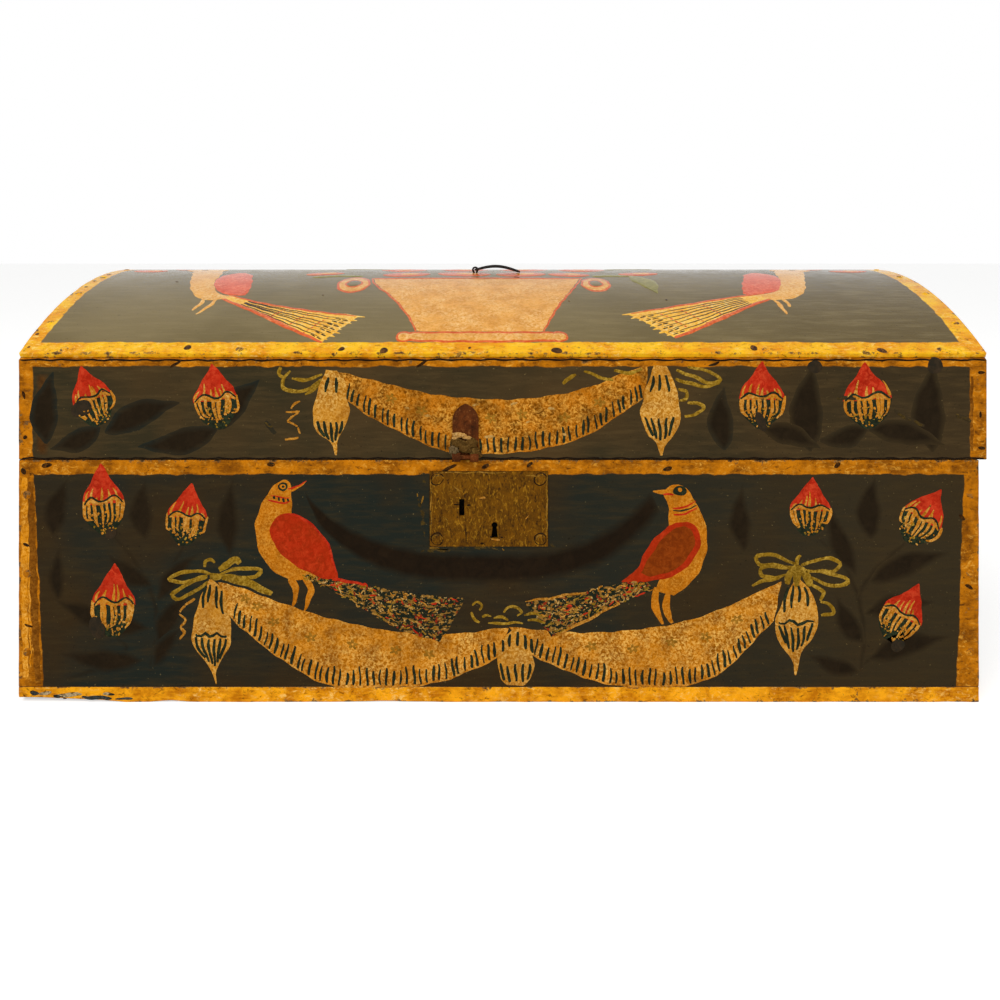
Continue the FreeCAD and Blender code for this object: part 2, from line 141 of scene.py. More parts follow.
def ochre_colour(tree, tones):
    """Border paint and its grain: uneven ochre, orange in patches and brush lines, with chips and pits."""
    main, warm, pale, dark = (colour(tone) for tone in tones)
    grain = noise(tree, 2.2, 6.0, 0.74, (1.6, 1, 1), twist=0.6)
    patches = add(tree, "MapRange", noise(tree, 13.0, 5.0, 0.68), 0.4, 0.6)
    brush = add(tree, "MapRange", noise(tree, 1.6, 3.0, 0.6, (7, 1, 1)), 0.48, 0.68, 0.0, 0.6)
    clusters = add(tree, "MapRange", noise(tree, 22.0, 3.0, shift=3.0), 0.38, 0.58)
    chips = add(tree, "MapRange", grain, 0.54, 0.65, 0.0, 0.85)
    pits = add(tree, "MapRange", grain, 0.44, 0.32, 0.0, 0.95)
    base = add(tree, "MixRGB", patches, main, warm)
    base = add(tree, "MixRGB", brush, base, warm)
    base = add(tree, "MixRGB", add(tree, "Math", clusters, chips, operation="MULTIPLY"), base, pale)
    return add(tree, "MixRGB", pits, base, dark), grain


def ground_colour(tree, tones):
    """Ground paint: dark, bluer and browner in clouds, streaked by the brush, with pale and dark specks.

    The fourth tone takes over to the right; on the top it is painted shade, where the varnish shines less.
    """
    main, cloudy, streaked, rightward_tone = (colour(tone) for tone in tones)
    across = add(tree, "SeparateXYZ", add(tree, "TexCoord", output="Object"), output="X")
    grain = noise(tree, 1.3, 3.0, 0.6, shift=7.0)
    clouds = add(tree, "MapRange", noise(tree, 85.0, 3.0, shift=1.5), 0.4, 0.6)
    rightward = add(tree, "MapRange", across, 0.02, 0.2, 0.0, 0.75)
    brush = add(tree, "MapRange", noise(tree, 3.4, 4.0, 0.65, (7, 1, 1)), 0.46, 0.76, 0.0, 0.6)
    dark_specks = add(tree, "MapRange", grain, 0.34, 0.26, 0.0, 0.6)
    pale_specks = add(tree, "MapRange", grain, 0.7, 0.77, 0.0, 0.6)
    base = add(tree, "MixRGB", clouds, main, cloudy)
    # Towards the right: on the lid top a darker tone, painted shade where the varnish shines less
    base = add(tree, "MixRGB", rightward, base, rightward_tone)
    base = add(tree, "MixRGB", brush, base, streaked)
    base = add(tree, "MixRGB", dark_specks, base, colour("#120d07"))
    return add(tree, "MixRGB", pale_specks, base, colour("#9a8350"))


def band(tree, axis, edge, side, slope=0.0, wobble=0.9):
    """1 beyond an edge along an axis, in millimetres, with an unsteady line; slope moves it with height."""
    softness = 0.00025
    parts = add(tree, "SeparateXYZ", add(tree, "TexCoord", output="Object")).node.outputs
    lean = add(tree, "Math", parts["Z"], slope, operation="MULTIPLY")
    place = add(tree, "Math", parts[axis], lean, operation="ADD")
    shake = noise(tree, 9.0, 3.0, shift=5.0)
    shake = add(tree, "MapRange", shake, 0.2, 0.8, -wobble / 1000, wobble / 1000)
    place = add(tree, "Math", place, shake, operation="ADD")
    return add(tree, "MapRange", place, edge / 1000 - side * softness, edge / 1000 + side * softness)


def painted_wood(name, bands, tones=border_ochre, ground=front_ground, along=0, gloss=0.03, shine=0.42):
    """Painted board: ground paint, ochre where a band lies, worn through to wood, first at its edges."""
    made, tree = start_material(name)
    border = 0.0
    for limits in bands:
        border = add(tree, "Math", border, band(tree, *limits), operation="MAXIMUM")
    ochre, grain = ochre_colour(tree, tones)
    near_edge = add(tree, "MapRange", rim_distance(tree), 0.0, 2.4, 0.15, 0.0)
    worn = add(tree, "Math", noise(tree, 5.0, 5.0, 0.72, shift=9.0), near_edge, operation="ADD")
    bare = add(tree, "MapRange", worn, 0.66, 0.7, 0.0, 0.9)
    bare = add(tree, "Math", border, bare, operation="MULTIPLY")
    dirt = add(tree, "MapRange", worn, 0.73, 0.77, 0.0, 0.85)
    paint = add(tree, "MixRGB", border, ground_colour(tree, ground), ochre)
    paint = add(tree, "MixRGB", bare, paint, wood_colour(tree, along)[0])
    paint = add(tree, "MixRGB", dirt, paint, colour("#21160b"))
    sheen = noise(tree, 12.0, 3.0, shift=2.0)
    surface(tree, paint, add(tree, "MapRange", sheen, 0.3, 0.7, shine, shine + 0.14), grain, 0.2, gloss)
    return made


def spaced(low, high, step, extra=()):
    """Lattice values a step apart, with finer ones at both ends for the worn edges, and the extra values."""
    fine, margin = np.array([0.0, 0.2, 0.5, 0.9, 1.5, 2.4]), 3
    even = np.linspace(low, high, max(int(round((high - low) / step)), 1) + 1)
    inner = even[(even > low + margin) & (even < high - margin)]
    ends = np.concatenate([low + fine, high - fine])
    ends = ends[(ends >= low) & (ends <= high)]
    return np.unique(np.round(np.concatenate([inner, ends, np.asarray(extra, float)]), 3))


def carved_block(xs, ys, zs, holes=()):
    """Surface of a block on a lattice of planes, less the boxes cut out, as points and outward quads."""
    grid = np.stack(np.meshgrid(xs, ys, zs, indexing="ij"), -1)
    middle = np.stack(np.meshgrid(*[(v[1:] + v[:-1]) / 2 for v in (xs, ys, zs)], indexing="ij"), -1)
    solid = np.ones(middle.shape[:3], bool)
    for low, high in holes:
        solid &= ~np.all((middle > low) & (middle < high), axis=-1)
    index = np.arange(grid[..., 0].size).reshape(grid.shape[:3])
    step = np.eye(3, dtype=int)
    quads = []
    for axis in range(3):
        padded = np.pad(solid, [(1, 1) if i == axis else (0, 0) for i in range(3)])
        before = np.take(padded, range(padded.shape[axis] - 1), axis)
        after = np.take(padded, range(1, padded.shape[axis]), axis)
        b, c = step[(axis + 1) % 3], step[(axis + 2) % 3]
        for facing, order in ((before & ~after, 1), (after & ~before, -1)):
            cell = np.argwhere(facing)
            corners = np.stack([cell, cell + b, cell + b + c, cell + c], 1)[:, ::order]
            quads.append(index[tuple(np.moveaxis(corners, -1, 0))])
    used, packed = np.unique(np.concatenate(quads), return_inverse=True)
    return grid.reshape(-1, 3)[used], packed.reshape(-1, 4)


def ripple(points, size, seed=0.0):
    """Smooth unevenness between -1 and 1: three slanting waves of about that size."""
    p = points / size
    waves = (p @ np.array([1.0, 2.3, 1.7]) + seed, p @ np.array([-1.9, 1.1, 2.9]) + 2 * seed + 1,
             p @ np.array([2.7, -1.6, -0.8]) + 3 * seed + 2)
    return sum(np.sin(w) for w in waves) / 3


def worn_edges(points, low, high, wear, seed):
    """Rounds a block's outer edges, more here and less there, and gives each point's distance to an edge.

    A point goes back to the block shrunk by the radius, then out again by the radius.
    """
    reach = np.sort(np.minimum(points - low, high - points), axis=1)
    least = 0.12
    radius = wear * (1 + 0.6 * ripple(points, 9.0, seed) + 0.35 * ripple(points, 3.1, seed))
    radius = np.maximum(radius, least)[:, None]
    core = np.clip(points, low + radius, high - radius)
    out = points - core
    length = np.maximum(np.linalg.norm(out, axis=1, keepdims=True), 1e-9)
    outer = reach[:, :1] < 1e-6
    return np.where(outer, core + out / length * radius, points), reach[:, 1]


def piece(name, points, quads, body, materials, node=None, choose=None, rim=None):
    """A mesh object from points in millimetres, on its body, in place of a CAD node where one is named."""
    mesh = bpy.data.meshes.new(name)
    mesh.from_pydata((points / 1000).tolist(), [], quads.tolist())
    for material in materials:
        mesh.materials.append(material)
    if choose is not None:
        mesh.polygons.foreach_set("material_index", choose.astype(np.int32))
    if rim is not None:
        mesh.attributes.new("rim", "FLOAT", "POINT").data.foreach_set("value", rim.astype(np.float32))
    mesh.shade_smooth()
    mesh.set_sharp_from_angle(angle=0.7)
    made = bpy.data.objects.new(name, mesh)
    bpy.context.scene.collection.objects.link(made)
    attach(made, body)
    if node:
        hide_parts(node)
    return made


face_slack = 0.05


def board(node, body, materials, step, bare=(), shape=None, holes=(), wear=0.45):
    """A worn board in place of a CAD one; faces beyond the bare planes take the second material."""
    low, high = node_box(node)
    extra = [np.array([corner[i] for hole in holes for corner in hole]) for i in range(3)]
    extra = [v[(v > low[i]) & (v < high[i])] for i, v in enumerate(extra)]
    axes = [spaced(low[i], high[i], step[i], extra[i]) for i in range(3)]
    points, quads = carved_block(*axes, holes)
    choose = np.zeros(len(quads), bool)
    for axis, plane, side in bare:
        choose |= (points[quads].mean(1)[:, axis] - plane) * side > -face_slack
    points, rim = worn_edges(points, low, high, wear, float(len(node)))
    if shape is not None:
        points = shape(points, low, high)
    piece(node + "_worn", points, quads, body, materials, node, choose, rim)


def worn_foot(points, low, high):
    """The bottom board's front arris worn up at the left corner, and nicked further along."""
    wear_from, wear_run, wear_lift, wear_depth = -195, 45, 2.6, 7
    x, y, z = points.T
    at_front = np.clip((low[1] + wear_depth - y) / wear_depth, 0, 1)
    corner = np.clip((wear_from - x) / wear_run, 0, 1) ** 0.7 * wear_lift
    nick = 0.9 * np.exp(-((x + 171) / 7) ** 2) + 0.5 * np.exp(-((x + 60) / 20) ** 2)
    lift = (corner + nick) * at_front * np.clip((high[2] - z) / (high[2] - low[2]), 0, 1)
    return np.stack([x, y, z + lift], 1)


beech_long = bare_wood("beech_bare_long", 0)
beech_deep = bare_wood("beech_bare_deep", 1)
foot_paint = painted_wood("beech_painted_foot", [("Z", -5.0, 1)], foot_ochre)
bottom_low, bottom_high = node_box("bottom_board")
board("bottom_board", "base", [foot_paint, beech_long], (4, 12, 4),
      bare=[(2, bottom_low[2], -1), (2, bottom_high[2], 1), (1, bottom_high[1], 1)], shape=worn_foot,
      wear=0.6)

# Base ends and back: beech boards nailed between front and back. The ends are painted like the front,
# with an ochre border; the back, which stood against a wall, was left bare.

paint_depth = 0.25


def thinned_left(points, low, high):
    """The left end's outer face set in by the depth of its paint, so that the paint stays within the size."""
    return np.maximum(points, [low[0] + paint_depth, low[1], low[2]])


left_low, left_high = node_box("base_left_end")
right_low, right_high = node_box("base_right_end")
front_low, front_high = node_box("base_front_board")
back_high = node_box("base_back_board")[1]
rim_z = front_high[2]
end_border = 11.0
end_bands = [("Z", rim_z - 7.5, 1), ("Y", front_low[1] + end_border, -1),
             ("Y", back_high[1] - end_border, 1)]
end_paint = painted_wood("beech_painted_end", end_bands, along=1)
board("base_left_end", "base", [end_paint, beech_deep], (3, 6, 6),
      bare=[(0, left_high[0], 1)], shape=thinned_left, wear=0.3)
board("base_right_end", "base", [end_paint, beech_deep], (3, 6, 6),
      bare=[(0, right_low[0], -1)], wear=0.3)
board("base_back_board", "base", [beech_long], (8, 3, 6), wear=0.5)

# Base front: a beech board that laps the ends, painted near-black with an ochre border on three sides.
# It is cut out for the lock: a shallow bed for the plate and a mortise behind it for the works.

plate_low, plate_high = node_box("lock_plate")
bed_play, mortise_margin, mortise_sill = 0.15, 5.7, 3.4
bed = (np.array([plate_low[0] - bed_play, front_low[1] - 1, plate_low[2] - bed_play]),
       np.array([plate_high[0] + bed_play, plate_high[1], plate_high[2] + bed_play]))
mortise = (np.array([plate_low[0] + mortise_margin, front_low[1] - 1, plate_low[2] + mortise_sill]),
           np.array([plate_high[0] - mortise_margin, front_high[1] + 1, plate_high[2] - mortise_margin]))
front_bands = [("Z", rim_z - 7.3, 1), ("X", front_low[0] + 13.5, -1, 0.045),
               ("X", front_high[0] - 12.0, 1, -0.035)]
front_paint = painted_wood("beech_painted_front", front_bands)
board("base_front_board", "base", [front_paint, beech_long], (4, 3, 4),
      bare=[(1, front_high[1], 1)], holes=[bed, mortise], wear=0.5)

# Painted ornament of the base front: folk work in a few oil colours, laid with a round brush straight on
# the ground paint. Every stroke and patch is a thin skin of paint with its own edge, mostly a tenth or two of
# a millimetre high. Where it has worn, the ground shows.

skins = {}
front = front_low[1]


def on_front(grid, height):
    """The front plane: across and up."""
    return np.stack([grid[..., 0], front - height, grid[..., 1]], -1)


def unsteady(grid):
    """A painter's hand: small drifts of the line, a centimetre or so long."""
    x, z = grid[..., 0], grid[..., 1]
    drift = [0.3 * np.sin(0.5 * z + 0.23 * x) + 0.1 * np.sin(1.3 * x - 0.9 * z + 2),
             0.3 * np.sin(0.45 * x - 0.27 * z + 1) + 0.1 * np.sin(1.4 * z + 0.7 * x)]
    return grid + np.stack(drift, -1)


def edge_distance(grid):
    """Each grid point's distance to the nearest side of its patch, measured along rows and columns."""
    far = []
    for axis in (0, 1):
        step = np.linalg.norm(np.diff(grid, axis=axis), axis=-1)
        run = np.concatenate([np.zeros_like(np.take(step, [0], axis)), np.cumsum(step, axis)], axis)
        far.append(np.minimum(run, np.take(run, [-1], axis) - run))
    return np.minimum(*far)


def film(grid, panel, height):
    """A closed skin: the grid raised to its height, its rim let into the wood, and a back under the wood."""
    n, m = grid.shape[:2]
    sunk = -0.03
    rise = np.full((n, m), sunk)
    rise[1:-1, 1:-1] = height
    rim = edge_distance(grid)
    grid = unsteady(grid)
    top = panel(grid, rise).reshape(-1, 3)
    back = panel(grid[1:-1, 1:-1], np.full((n - 2, m - 2), sunk)).reshape(-1, 3)
    upper = np.arange(n * m).reshape(n, m)
    under = upper.copy()
    under[1:-1, 1:-1] = n * m + np.arange((n - 2) * (m - 2)).reshape(n - 2, m - 2)

    def quads(ids):
        return np.stack([ids[:-1, :-1], ids[1:, :-1], ids[1:, 1:], ids[:-1, 1:]], -1).reshape(-1, 4)

    return (np.concatenate([top, back]), np.concatenate([quads(upper), quads(under)[:, ::-1]]),
            np.concatenate([rim.ravel(), rim[1:-1, 1:-1].ravel()]))


def lay(panel, paint, grid, height):
    """Adds one skin of paint to its panel and colour."""
    skins.setdefault((panel, paint), []).append(film(np.asarray(grid, float), panels[panel][0], height))


def through(points, count):
    """Points spread evenly along a smooth curve through the given ones: cubics with mean slopes."""
    p = np.asarray(points, float)
    t = np.append(0, np.cumsum(np.linalg.norm(np.diff(p, axis=0), axis=1)))
    slope = np.gradient(p, t, axis=0)
    at = np.linspace(0, t[-1], count)
    i = np.clip(np.searchsorted(t, at, side="right") - 1, 0, len(t) - 2)
    span = (t[i + 1] - t[i])[:, None]
    f = (at - t[i])[:, None] / span
    first = (1 + 2 * f) * (1 - f) ** 2 * p[i] + f * (1 - f) ** 2 * span * slope[i]
    return first + f**2 * (3 - 2 * f) * p[i + 1] + f**2 * (f - 1) * span * slope[i + 1]


def stroke(panel, paint, points, width, height=0.14, lean=1.0, count=14, blunt=0.45):
    """A brush stroke: a ribbon along a smooth line, round at both ends; lean shifts its widest place."""
    line = through(points, count)
    along = np.gradient(line, axis=0)
    along /= np.maximum(np.linalg.norm(along, axis=1, keepdims=True), 1e-9)
    across = np.stack([-along[:, 1], along[:, 0]], 1)
    t = np.linspace(0.03, 0.97, count)
    half = width / 2 * np.sin(np.pi * t**lean) ** blunt
    sides = np.array([-1.0, -0.8, 0.0, 0.8, 1.0])
    lay(panel, paint, line[:, None] + across[:, None] * half[:, None, None] * sides[None, :, None], height)


def patch(panel, paint, first, second, height=0.06, count=28, across=7):
    """A filled shape between two smooth edges that run the same way."""
    a, b = through(first, count), through(second, count)
    v = np.concatenate([[0.0], np.linspace(0.03, 0.97, across - 2), [1.0]])
    u = np.concatenate([[0.0], np.linspace(0.02, 0.98, count - 2), [1.0]])
    even = np.linspace(0, 1, count)
    a, b = (np.stack([np.interp(u, even, edge[:, k]) for k in range(2)], 1) for edge in (a, b))
    lay(panel, paint, a[:, None] * (1 - v)[None, :, None] + b[:, None] * v[None, :, None], height)


def oval(panel, paint, centre, size, turn=0.0, height=0.1, count=16):
    """A dab of the brush: an oval of that width and height, turned by degrees."""
    t = np.linspace(0.12, math.pi - 0.12, count)
    c, s = math.cos(math.radians(turn)), math.sin(math.radians(turn))
    spin = np.array([[c, s], [-s, c]])
    upper = np.stack([-np.cos(t) * size[0] / 2, np.sin(t) * size[1] / 2], 1) @ spin + centre
    lower = np.stack([-np.cos(t) * size[0] / 2, -np.sin(t) * size[1] / 2], 1) @ spin + centre
    patch(panel, paint, upper, lower, height, count, 6)


def leaf(panel, paint, foot, tip, width, height):
    """A lens-shaped leaf from its foot to its pointed tip, fuller near the foot and a little bent."""
    foot, tip = np.array(foot, float), np.array(tip, float)
    along = tip - foot
    across = np.array([-along[1], along[0]]) / np.linalg.norm(along) * width / 2
    shape = ((0.0, 0.02), (0.12, 0.55), (0.35, 1.0), (0.6, 0.85), (0.85, 0.35), (1.0, 0.01))
    edges = [[foot + along * t + across * (side * half + 0.35 * math.sin(math.pi * t)) for t, half in shape]
             for side in (1, -1)]
    patch(panel, paint, *edges, height, 20, 9)


def rosebud(panel, foot, tip, width, bite=None):
    """A rosebud: a green cup with ochre strokes and flecks, a dark wavy rim, a red bud with ochre flames.

    The outline is an egg that runs out to a point; u goes across it and v from foot to tip.
    A bite is a place that has lost its paint.
    """
    foot, tip = np.array(foot, float), np.array(tip, float)
    up = tip - foot
    across = np.array([up[1], -up[0]]) / np.linalg.norm(up) * width / 2
    shake = np.random.default_rng(int(abs(foot[0] * 7 + foot[1] * 3)))

    def at(u, v):
        return foot + across * u + up * v

    def edge(side, places):
        rise = (0.0, 0.05, 0.12, 0.22, 0.32, 0.42, 0.5, 0.6, 0.72, 0.84, 0.95, 1.0)
        reach = (0.2, 0.42, 0.64, 0.84, 0.96, 1.0, 0.97, 0.83, 0.58, 0.32, 0.11, 0.02)
        return [at(side * np.interp(v, rise, reach), v) for v in places]

    cup = (0.0, 0.05, 0.12, 0.22, 0.34, 0.46, 0.52)
    bud = (0.42, 0.5, 0.6, 0.72, 0.84, 0.95, 1.0)
    patch(panel, "green", edge(-1, cup), edge(1, cup), 0.05, 18, 9)
    patch(panel, "red", edge(-1, bud), edge(1, bud), 0.07, 18, 9)
    for k, u in enumerate(np.linspace(-0.9, 0.9, 8) + shake.normal(0, 0.05, 8)):
        low = 0.1 + 0.1 * abs(u) + shake.normal(0, 0.04)
        stroke(panel, "ochre", [at(u, 0.5), at(u * 1.02, 0.36), at(u * 0.88, 0.23), at(u * 0.62, low)],
               width * shake.uniform(0.06, 0.1), 0.1 + 0.002 * k, 0.6, 12)
    stroke(panel, "ochre", [at(-0.92, 0.42), at(-0.5, 0.48), at(0, 0.44), at(0.5, 0.49), at(0.93, 0.42)],
           width * 0.1, 0.12, 1.0, 18, 0.3)
    for k, u in enumerate(np.linspace(-0.78, 0.78, 7) + shake.normal(0, 0.06, 7)):
        top = 0.72 - 0.16 * abs(u) + shake.normal(0, 0.06)
        stroke(panel, "ochre", [at(u * 1.05, 0.47), at(u * 0.97, (top + 0.47) / 2), at(u * 0.8, top)],
               width * 0.07, 0.13 + 0.002 * k, 0.4, 10, 0.6)
    middle = shake.normal(0, 0.1)
    wave = [at(-0.98, 0.41), at(-0.5, 0.53), at(middle - 0.06, 0.47), at(middle + 0.06, 0.47), at(0.5, 0.54),
            at(0.98, 0.42)]
    stroke(panel, "green", wave, width * 0.055, 0.16, 1.0, 18, 0.25)
    for k in range(64):
        v = shake.uniform(0.03, 0.34)
        u = shake.uniform(-0.9, 0.9) * np.interp(v, (0.0, 0.05, 0.12, 0.3), (0.2, 0.4, 0.62, 0.92))
        end = at(u + shake.normal(0, 0.06), v + shake.normal(0, 0.022))
        stroke(panel, ("tan", "olive", "ochre", "green")[k % 4], [at(u, v), end], width * 0.05,
               0.15 + 0.001 * k, 1.0, 6)
    if bite:
        oval(panel, "bare", at(*bite[:2]), (width * bite[2], width * bite[3]), 20, 0.2)


def fringe(panel, edge, spacing, length, wide, lift=0.5, tilt=0.3):
    """Green strokes that stand on a swag's lower edge, unequal because they were set by eye."""
    line = through(edge, 240)
    steps = np.append(0, np.cumsum(np.linalg.norm(np.diff(line, axis=0), axis=1)))
    along = np.gradient(line, axis=0)
    along /= np.linalg.norm(along, axis=1, keepdims=True)
    for k in range(1, int(steps[-1] / spacing)):
        i = int(np.searchsorted(steps, k * spacing + 0.25 * math.sin(2.1 * k)))
        normal = np.array([-along[i, 1], along[i, 0]])
        up = normal * np.sign(normal[1]) * tilt + np.array([0.0, 1.0 - tilt])
        reach = length * (1 + 0.1 * math.sin(1.7 * k) + 0.07 * math.sin(5.3 * k))
        foot = line[i] + up * lift
        bend = np.array([0.14 * math.sin(3.1 * k), 0.0])
        stroke(panel, "green", [foot, foot + up * reach / 2 + bend, foot + up * reach],
               wide * (1 + 0.2 * math.sin(4.3 * k)), 0.12, 0.8, 10, 0.4)


def blossom(panel, centre, reach, turn):
    """A faint star of five short olive strokes."""
    for k in range(5):
        angle = turn + 2 * math.pi * k / 5
        far = np.array([math.cos(angle), 0.8 * math.sin(angle)]) * reach
        stroke(panel, "blossom", [np.array(centre) + far * 0.1, np.array(centre) + far], 1.7,
               0.1 + 0.003 * k, 0.8, 8)


def tassel(panel, left, right, strokes):
    """A tassel: tan body between two edges, with green strokes under its neck and on its skirt."""
    patch(panel, "tassel", left, right, 0.1, 30, 9)
    for k, line in enumerate(strokes):
        stroke(panel, "green", line, 1.9, 0.15 + 0.003 * k, 1.0, 10, 0.4)


def ribbon(panel, lines, width=2.1, paint="olive"):
    """Ribbon painted in long strokes of the brush."""
    for k, line in enumerate(lines):
        stroke(panel, paint, line, width, 0.12 + 0.004 * k, 1.0, 26, 0.25)


panels = {"base_front": (on_front, "base", "painted_beech")}
panel = "base_front"

# Dark leaf sprays and the brown garland under the lock, painted first and now almost lost in the ground
garland_top = [(-103, 112), (-90, 99), (-70, 88), (-45, 81), (-10, 79), (25, 80), (50, 88), (68, 100),
               (80, 112)]
garland_low = [(-96, 94), (-84, 82), (-66, 70), (-42, 63), (-8, 61), (28, 63), (56, 72), (74, 86), (86, 100)]
patch(panel, "garland", garland_top, garland_low, 0.02, 60, 15)
front_stems = ([(-202, 88), (-190, 74), (-181, 58), (-178, 38), (-182, 16)],
               [(-164, 82), (-170, 70), (-178, 52)], [(-200, 34), (-194, 29), (-204, 20), (-226, 12)],
               [(166, 86), (178, 74), (186, 58), (190, 36), (188, 14)],
               [(212, 84), (202, 74), (192, 64), (186, 52)], [(203, 33), (198, 26), (190, 20)])
for k, stem in enumerate(front_stems):
    stroke(panel, "leaf", stem, 4.0, 0.024 + 0.001 * k, 1.0, 22, 0.35)
front_leaves = (((-232, 86), (-224, 117), 14), ((-229, 52), (-228, 82), 10), ((-184, 84), (-184, 116), 14),
                ((-180, 60), (-204, 78), 12), ((-178, 52), (-156, 78), 12), ((-182, 38), (-232, 54), 16),
                ((-140, 76), (-138, 117), 13), ((-178, 30), (-160, 58), 13), ((-184, 22), (-230, 26), 13),
                ((-180, 18), (-164, 40), 10), ((194, 84), (196, 118), 15), ((192, 62), (236, 78), 14),
                ((186, 66), (172, 104), 13), ((190, 46), (228, 52), 13), ((190, 30), (176, 56), 13),
                ((192, 22), (236, 34), 14), ((188, 16), (160, 26), 11), ((128, 78), (127, 114), 13))
for k, (foot, tip, width) in enumerate(front_leaves):
    leaf(panel, "leaf", foot, tip, width, 0.032 + 0.0012 * k)

# Rosebuds, three at each side
rosebud(panel, (-204.6, 87), (-207.5, 124.5), 22.5, (0.25, 0.02, 0.3, 0.28))
rosebud(panel, (-164.2, 81.6), (-160, 114.5), 21.5)
rosebud(panel, (-201, 33.6), (-200, 73), 23, (-0.72, 0.13, 0.36, 0.5))
rosebud(panel, (161.5, 86.5), (163, 117.5), 22)
rosebud(panel, (213, 83), (230, 111), 23)
rosebud(panel, (202.4, 32), (219, 61.5), 23, (0.5, 0.02, 0.3, 0.3))

# Swags with their fringes
left_swag_top = [(-147, 63), (-140, 61.5), (-130, 58.5), (-120, 54.5), (-110, 51), (-100, 47.5), (-88, 44),
                 (-75, 41), (-60, 38), (-45, 36.5), (-30, 36), (-15, 36.5), (-5, 38), (6, 39.5)]
left_swag_low = [(-141, 45), (-135, 39), (-128, 33.5), (-120, 27), (-110, 20), (-100, 13.5), (-92, 9.4),
                 (-84, 8.0), (-70, 7.6), (-55, 7.8), (-40, 8.6), (-28, 11), (-14, 16.5), (2, 24)]
right_swag_top = [(4, 39.5), (15, 38.5), (25, 37.5), (40, 36.5), (55, 36.8), (70, 38), (85, 40), (95, 42),
                  (105, 45), (115, 48.5), (125, 53), (135, 57.5), (143, 61.5), (148, 64)]
right_swag_low = [(15, 25.5), (25, 20.5), (35, 16.5), (45, 12.5), (55, 9.4), (65, 8.1), (80, 7.8),
                  (95, 8.2), (103, 9.4), (112, 13), (120, 18.5), (128, 26), (136, 35), (144, 43)]
patch(panel, "swag", left_swag_top, left_swag_low, 0.06, 60, 11)
patch(panel, "swag", right_swag_top, right_swag_low, 0.065, 60, 11)
fringe(panel, left_swag_low, 3.5, 9.8, 1.55)
fringe(panel, right_swag_low, 3.5, 9.6, 1.55)
swag_blossoms = ((-132, 54), (-126, 50), (-117, 42), (-98, 34), (-76, 30), (-54, 27), (-36, 25), (48, 29),
                 (70, 28), (90, 31), (108, 34), (124, 43))
for k, (x, z) in enumerate(swag_blossoms):
    blossom(panel, (x, z), 3.4, k)

# Tassels: two at the outer ends and an acorn where the swags meet
tassel(panel, [(-150.5, 64.5), (-154.5, 57), (-157.5, 48), (-159.5, 39), (-159.8, 32), (-157, 26),
               (-152, 20), (-148.6, 15), (-147.6, 9)],
       [(-149, 64.5), (-145, 60), (-141.5, 52), (-140, 44), (-139, 37), (-139.5, 31), (-142.5, 25),
        (-146, 20), (-147, 9)],
       [[(-152.4, 62), (-153.4, 56), (-154.4, 48)], [(-150.4, 62.5), (-150.8, 57), (-151.2, 51)],
        [(-147.4, 61.5), (-147, 55), (-146.4, 48)], [(-144.6, 59), (-144.4, 53), (-143.4, 45)],
        [(-157.6, 35), (-156.6, 29), (-152.5, 22)], [(-154.6, 35), (-153.6, 28), (-150.6, 20)],
        [(-151.2, 34), (-150.6, 27), (-149, 19)], [(-148.2, 34), (-148, 26), (-147.9, 18)],
        [(-145, 34), (-145.6, 27), (-146.8, 20)], [(-142, 34), (-143.2, 28), (-145.6, 22)],
        [(-159, 36.4), (-156, 34), (-153, 36.2), (-150, 34), (-147, 36), (-144, 33.8), (-140, 35.4)]])
tassel(panel, [(155, 64.5), (151, 59), (147, 51), (144, 43), (143.7, 37), (146, 31), (150, 26), (153, 20),
               (154.2, 14)],
       [(157, 64.5), (161, 60), (164.5, 53), (166.5, 46), (166, 40), (163.5, 33), (159.5, 29), (156.5, 22),
        (154.9, 14)],
       [[(150.4, 60), (149, 53), (148, 46)], [(153.2, 62), (152.6, 55), (152.4, 48)],
        [(156, 62), (156.4, 57), (156.4, 51)], [(159, 61), (160.4, 55), (161, 49)],
        [(145.6, 41), (147, 36), (150, 30)], [(148.6, 41), (149.6, 34), (151.8, 27)],
        [(152.2, 40), (152.8, 33), (153.6, 25)], [(156, 40), (155.8, 33), (155.2, 26)],
        [(159.4, 41), (158.8, 34), (157, 28)], [(163, 42), (162, 36), (159.8, 31)],
        [(144.6, 43), (148, 40.6), (152, 42.6), (156, 40.4), (160, 42.6), (165.4, 41.4)]])
tassel(panel, [(7.5, 38.5), (3, 34), (0, 27), (-0.6, 19), (1, 12.5), (4.6, 8.6)],
       [(9, 38.5), (13.4, 34), (16.6, 27), (18.4, 20), (17, 13), (12.4, 8.6)],
       [[(2.4, 33), (2.2, 30), (1.8, 25.5)], [(6, 36), (5.8, 33), (5.4, 28)],
        [(9.4, 37), (9.8, 33.5), (10, 29)], [(13, 35.6), (13.8, 32), (14.4, 27)],
        [(16.4, 33.6), (17, 30), (18, 25)], [(1.2, 21), (1.4, 16), (3, 11)],
        [(4.8, 20), (4.8, 14), (6, 9.6)], [(8.6, 21), (8.8, 15), (9, 9.8)],
        [(12.6, 20.5), (12.6, 15), (12, 10)], [(16, 20.5), (16.2, 16), (14.8, 11.5)]])

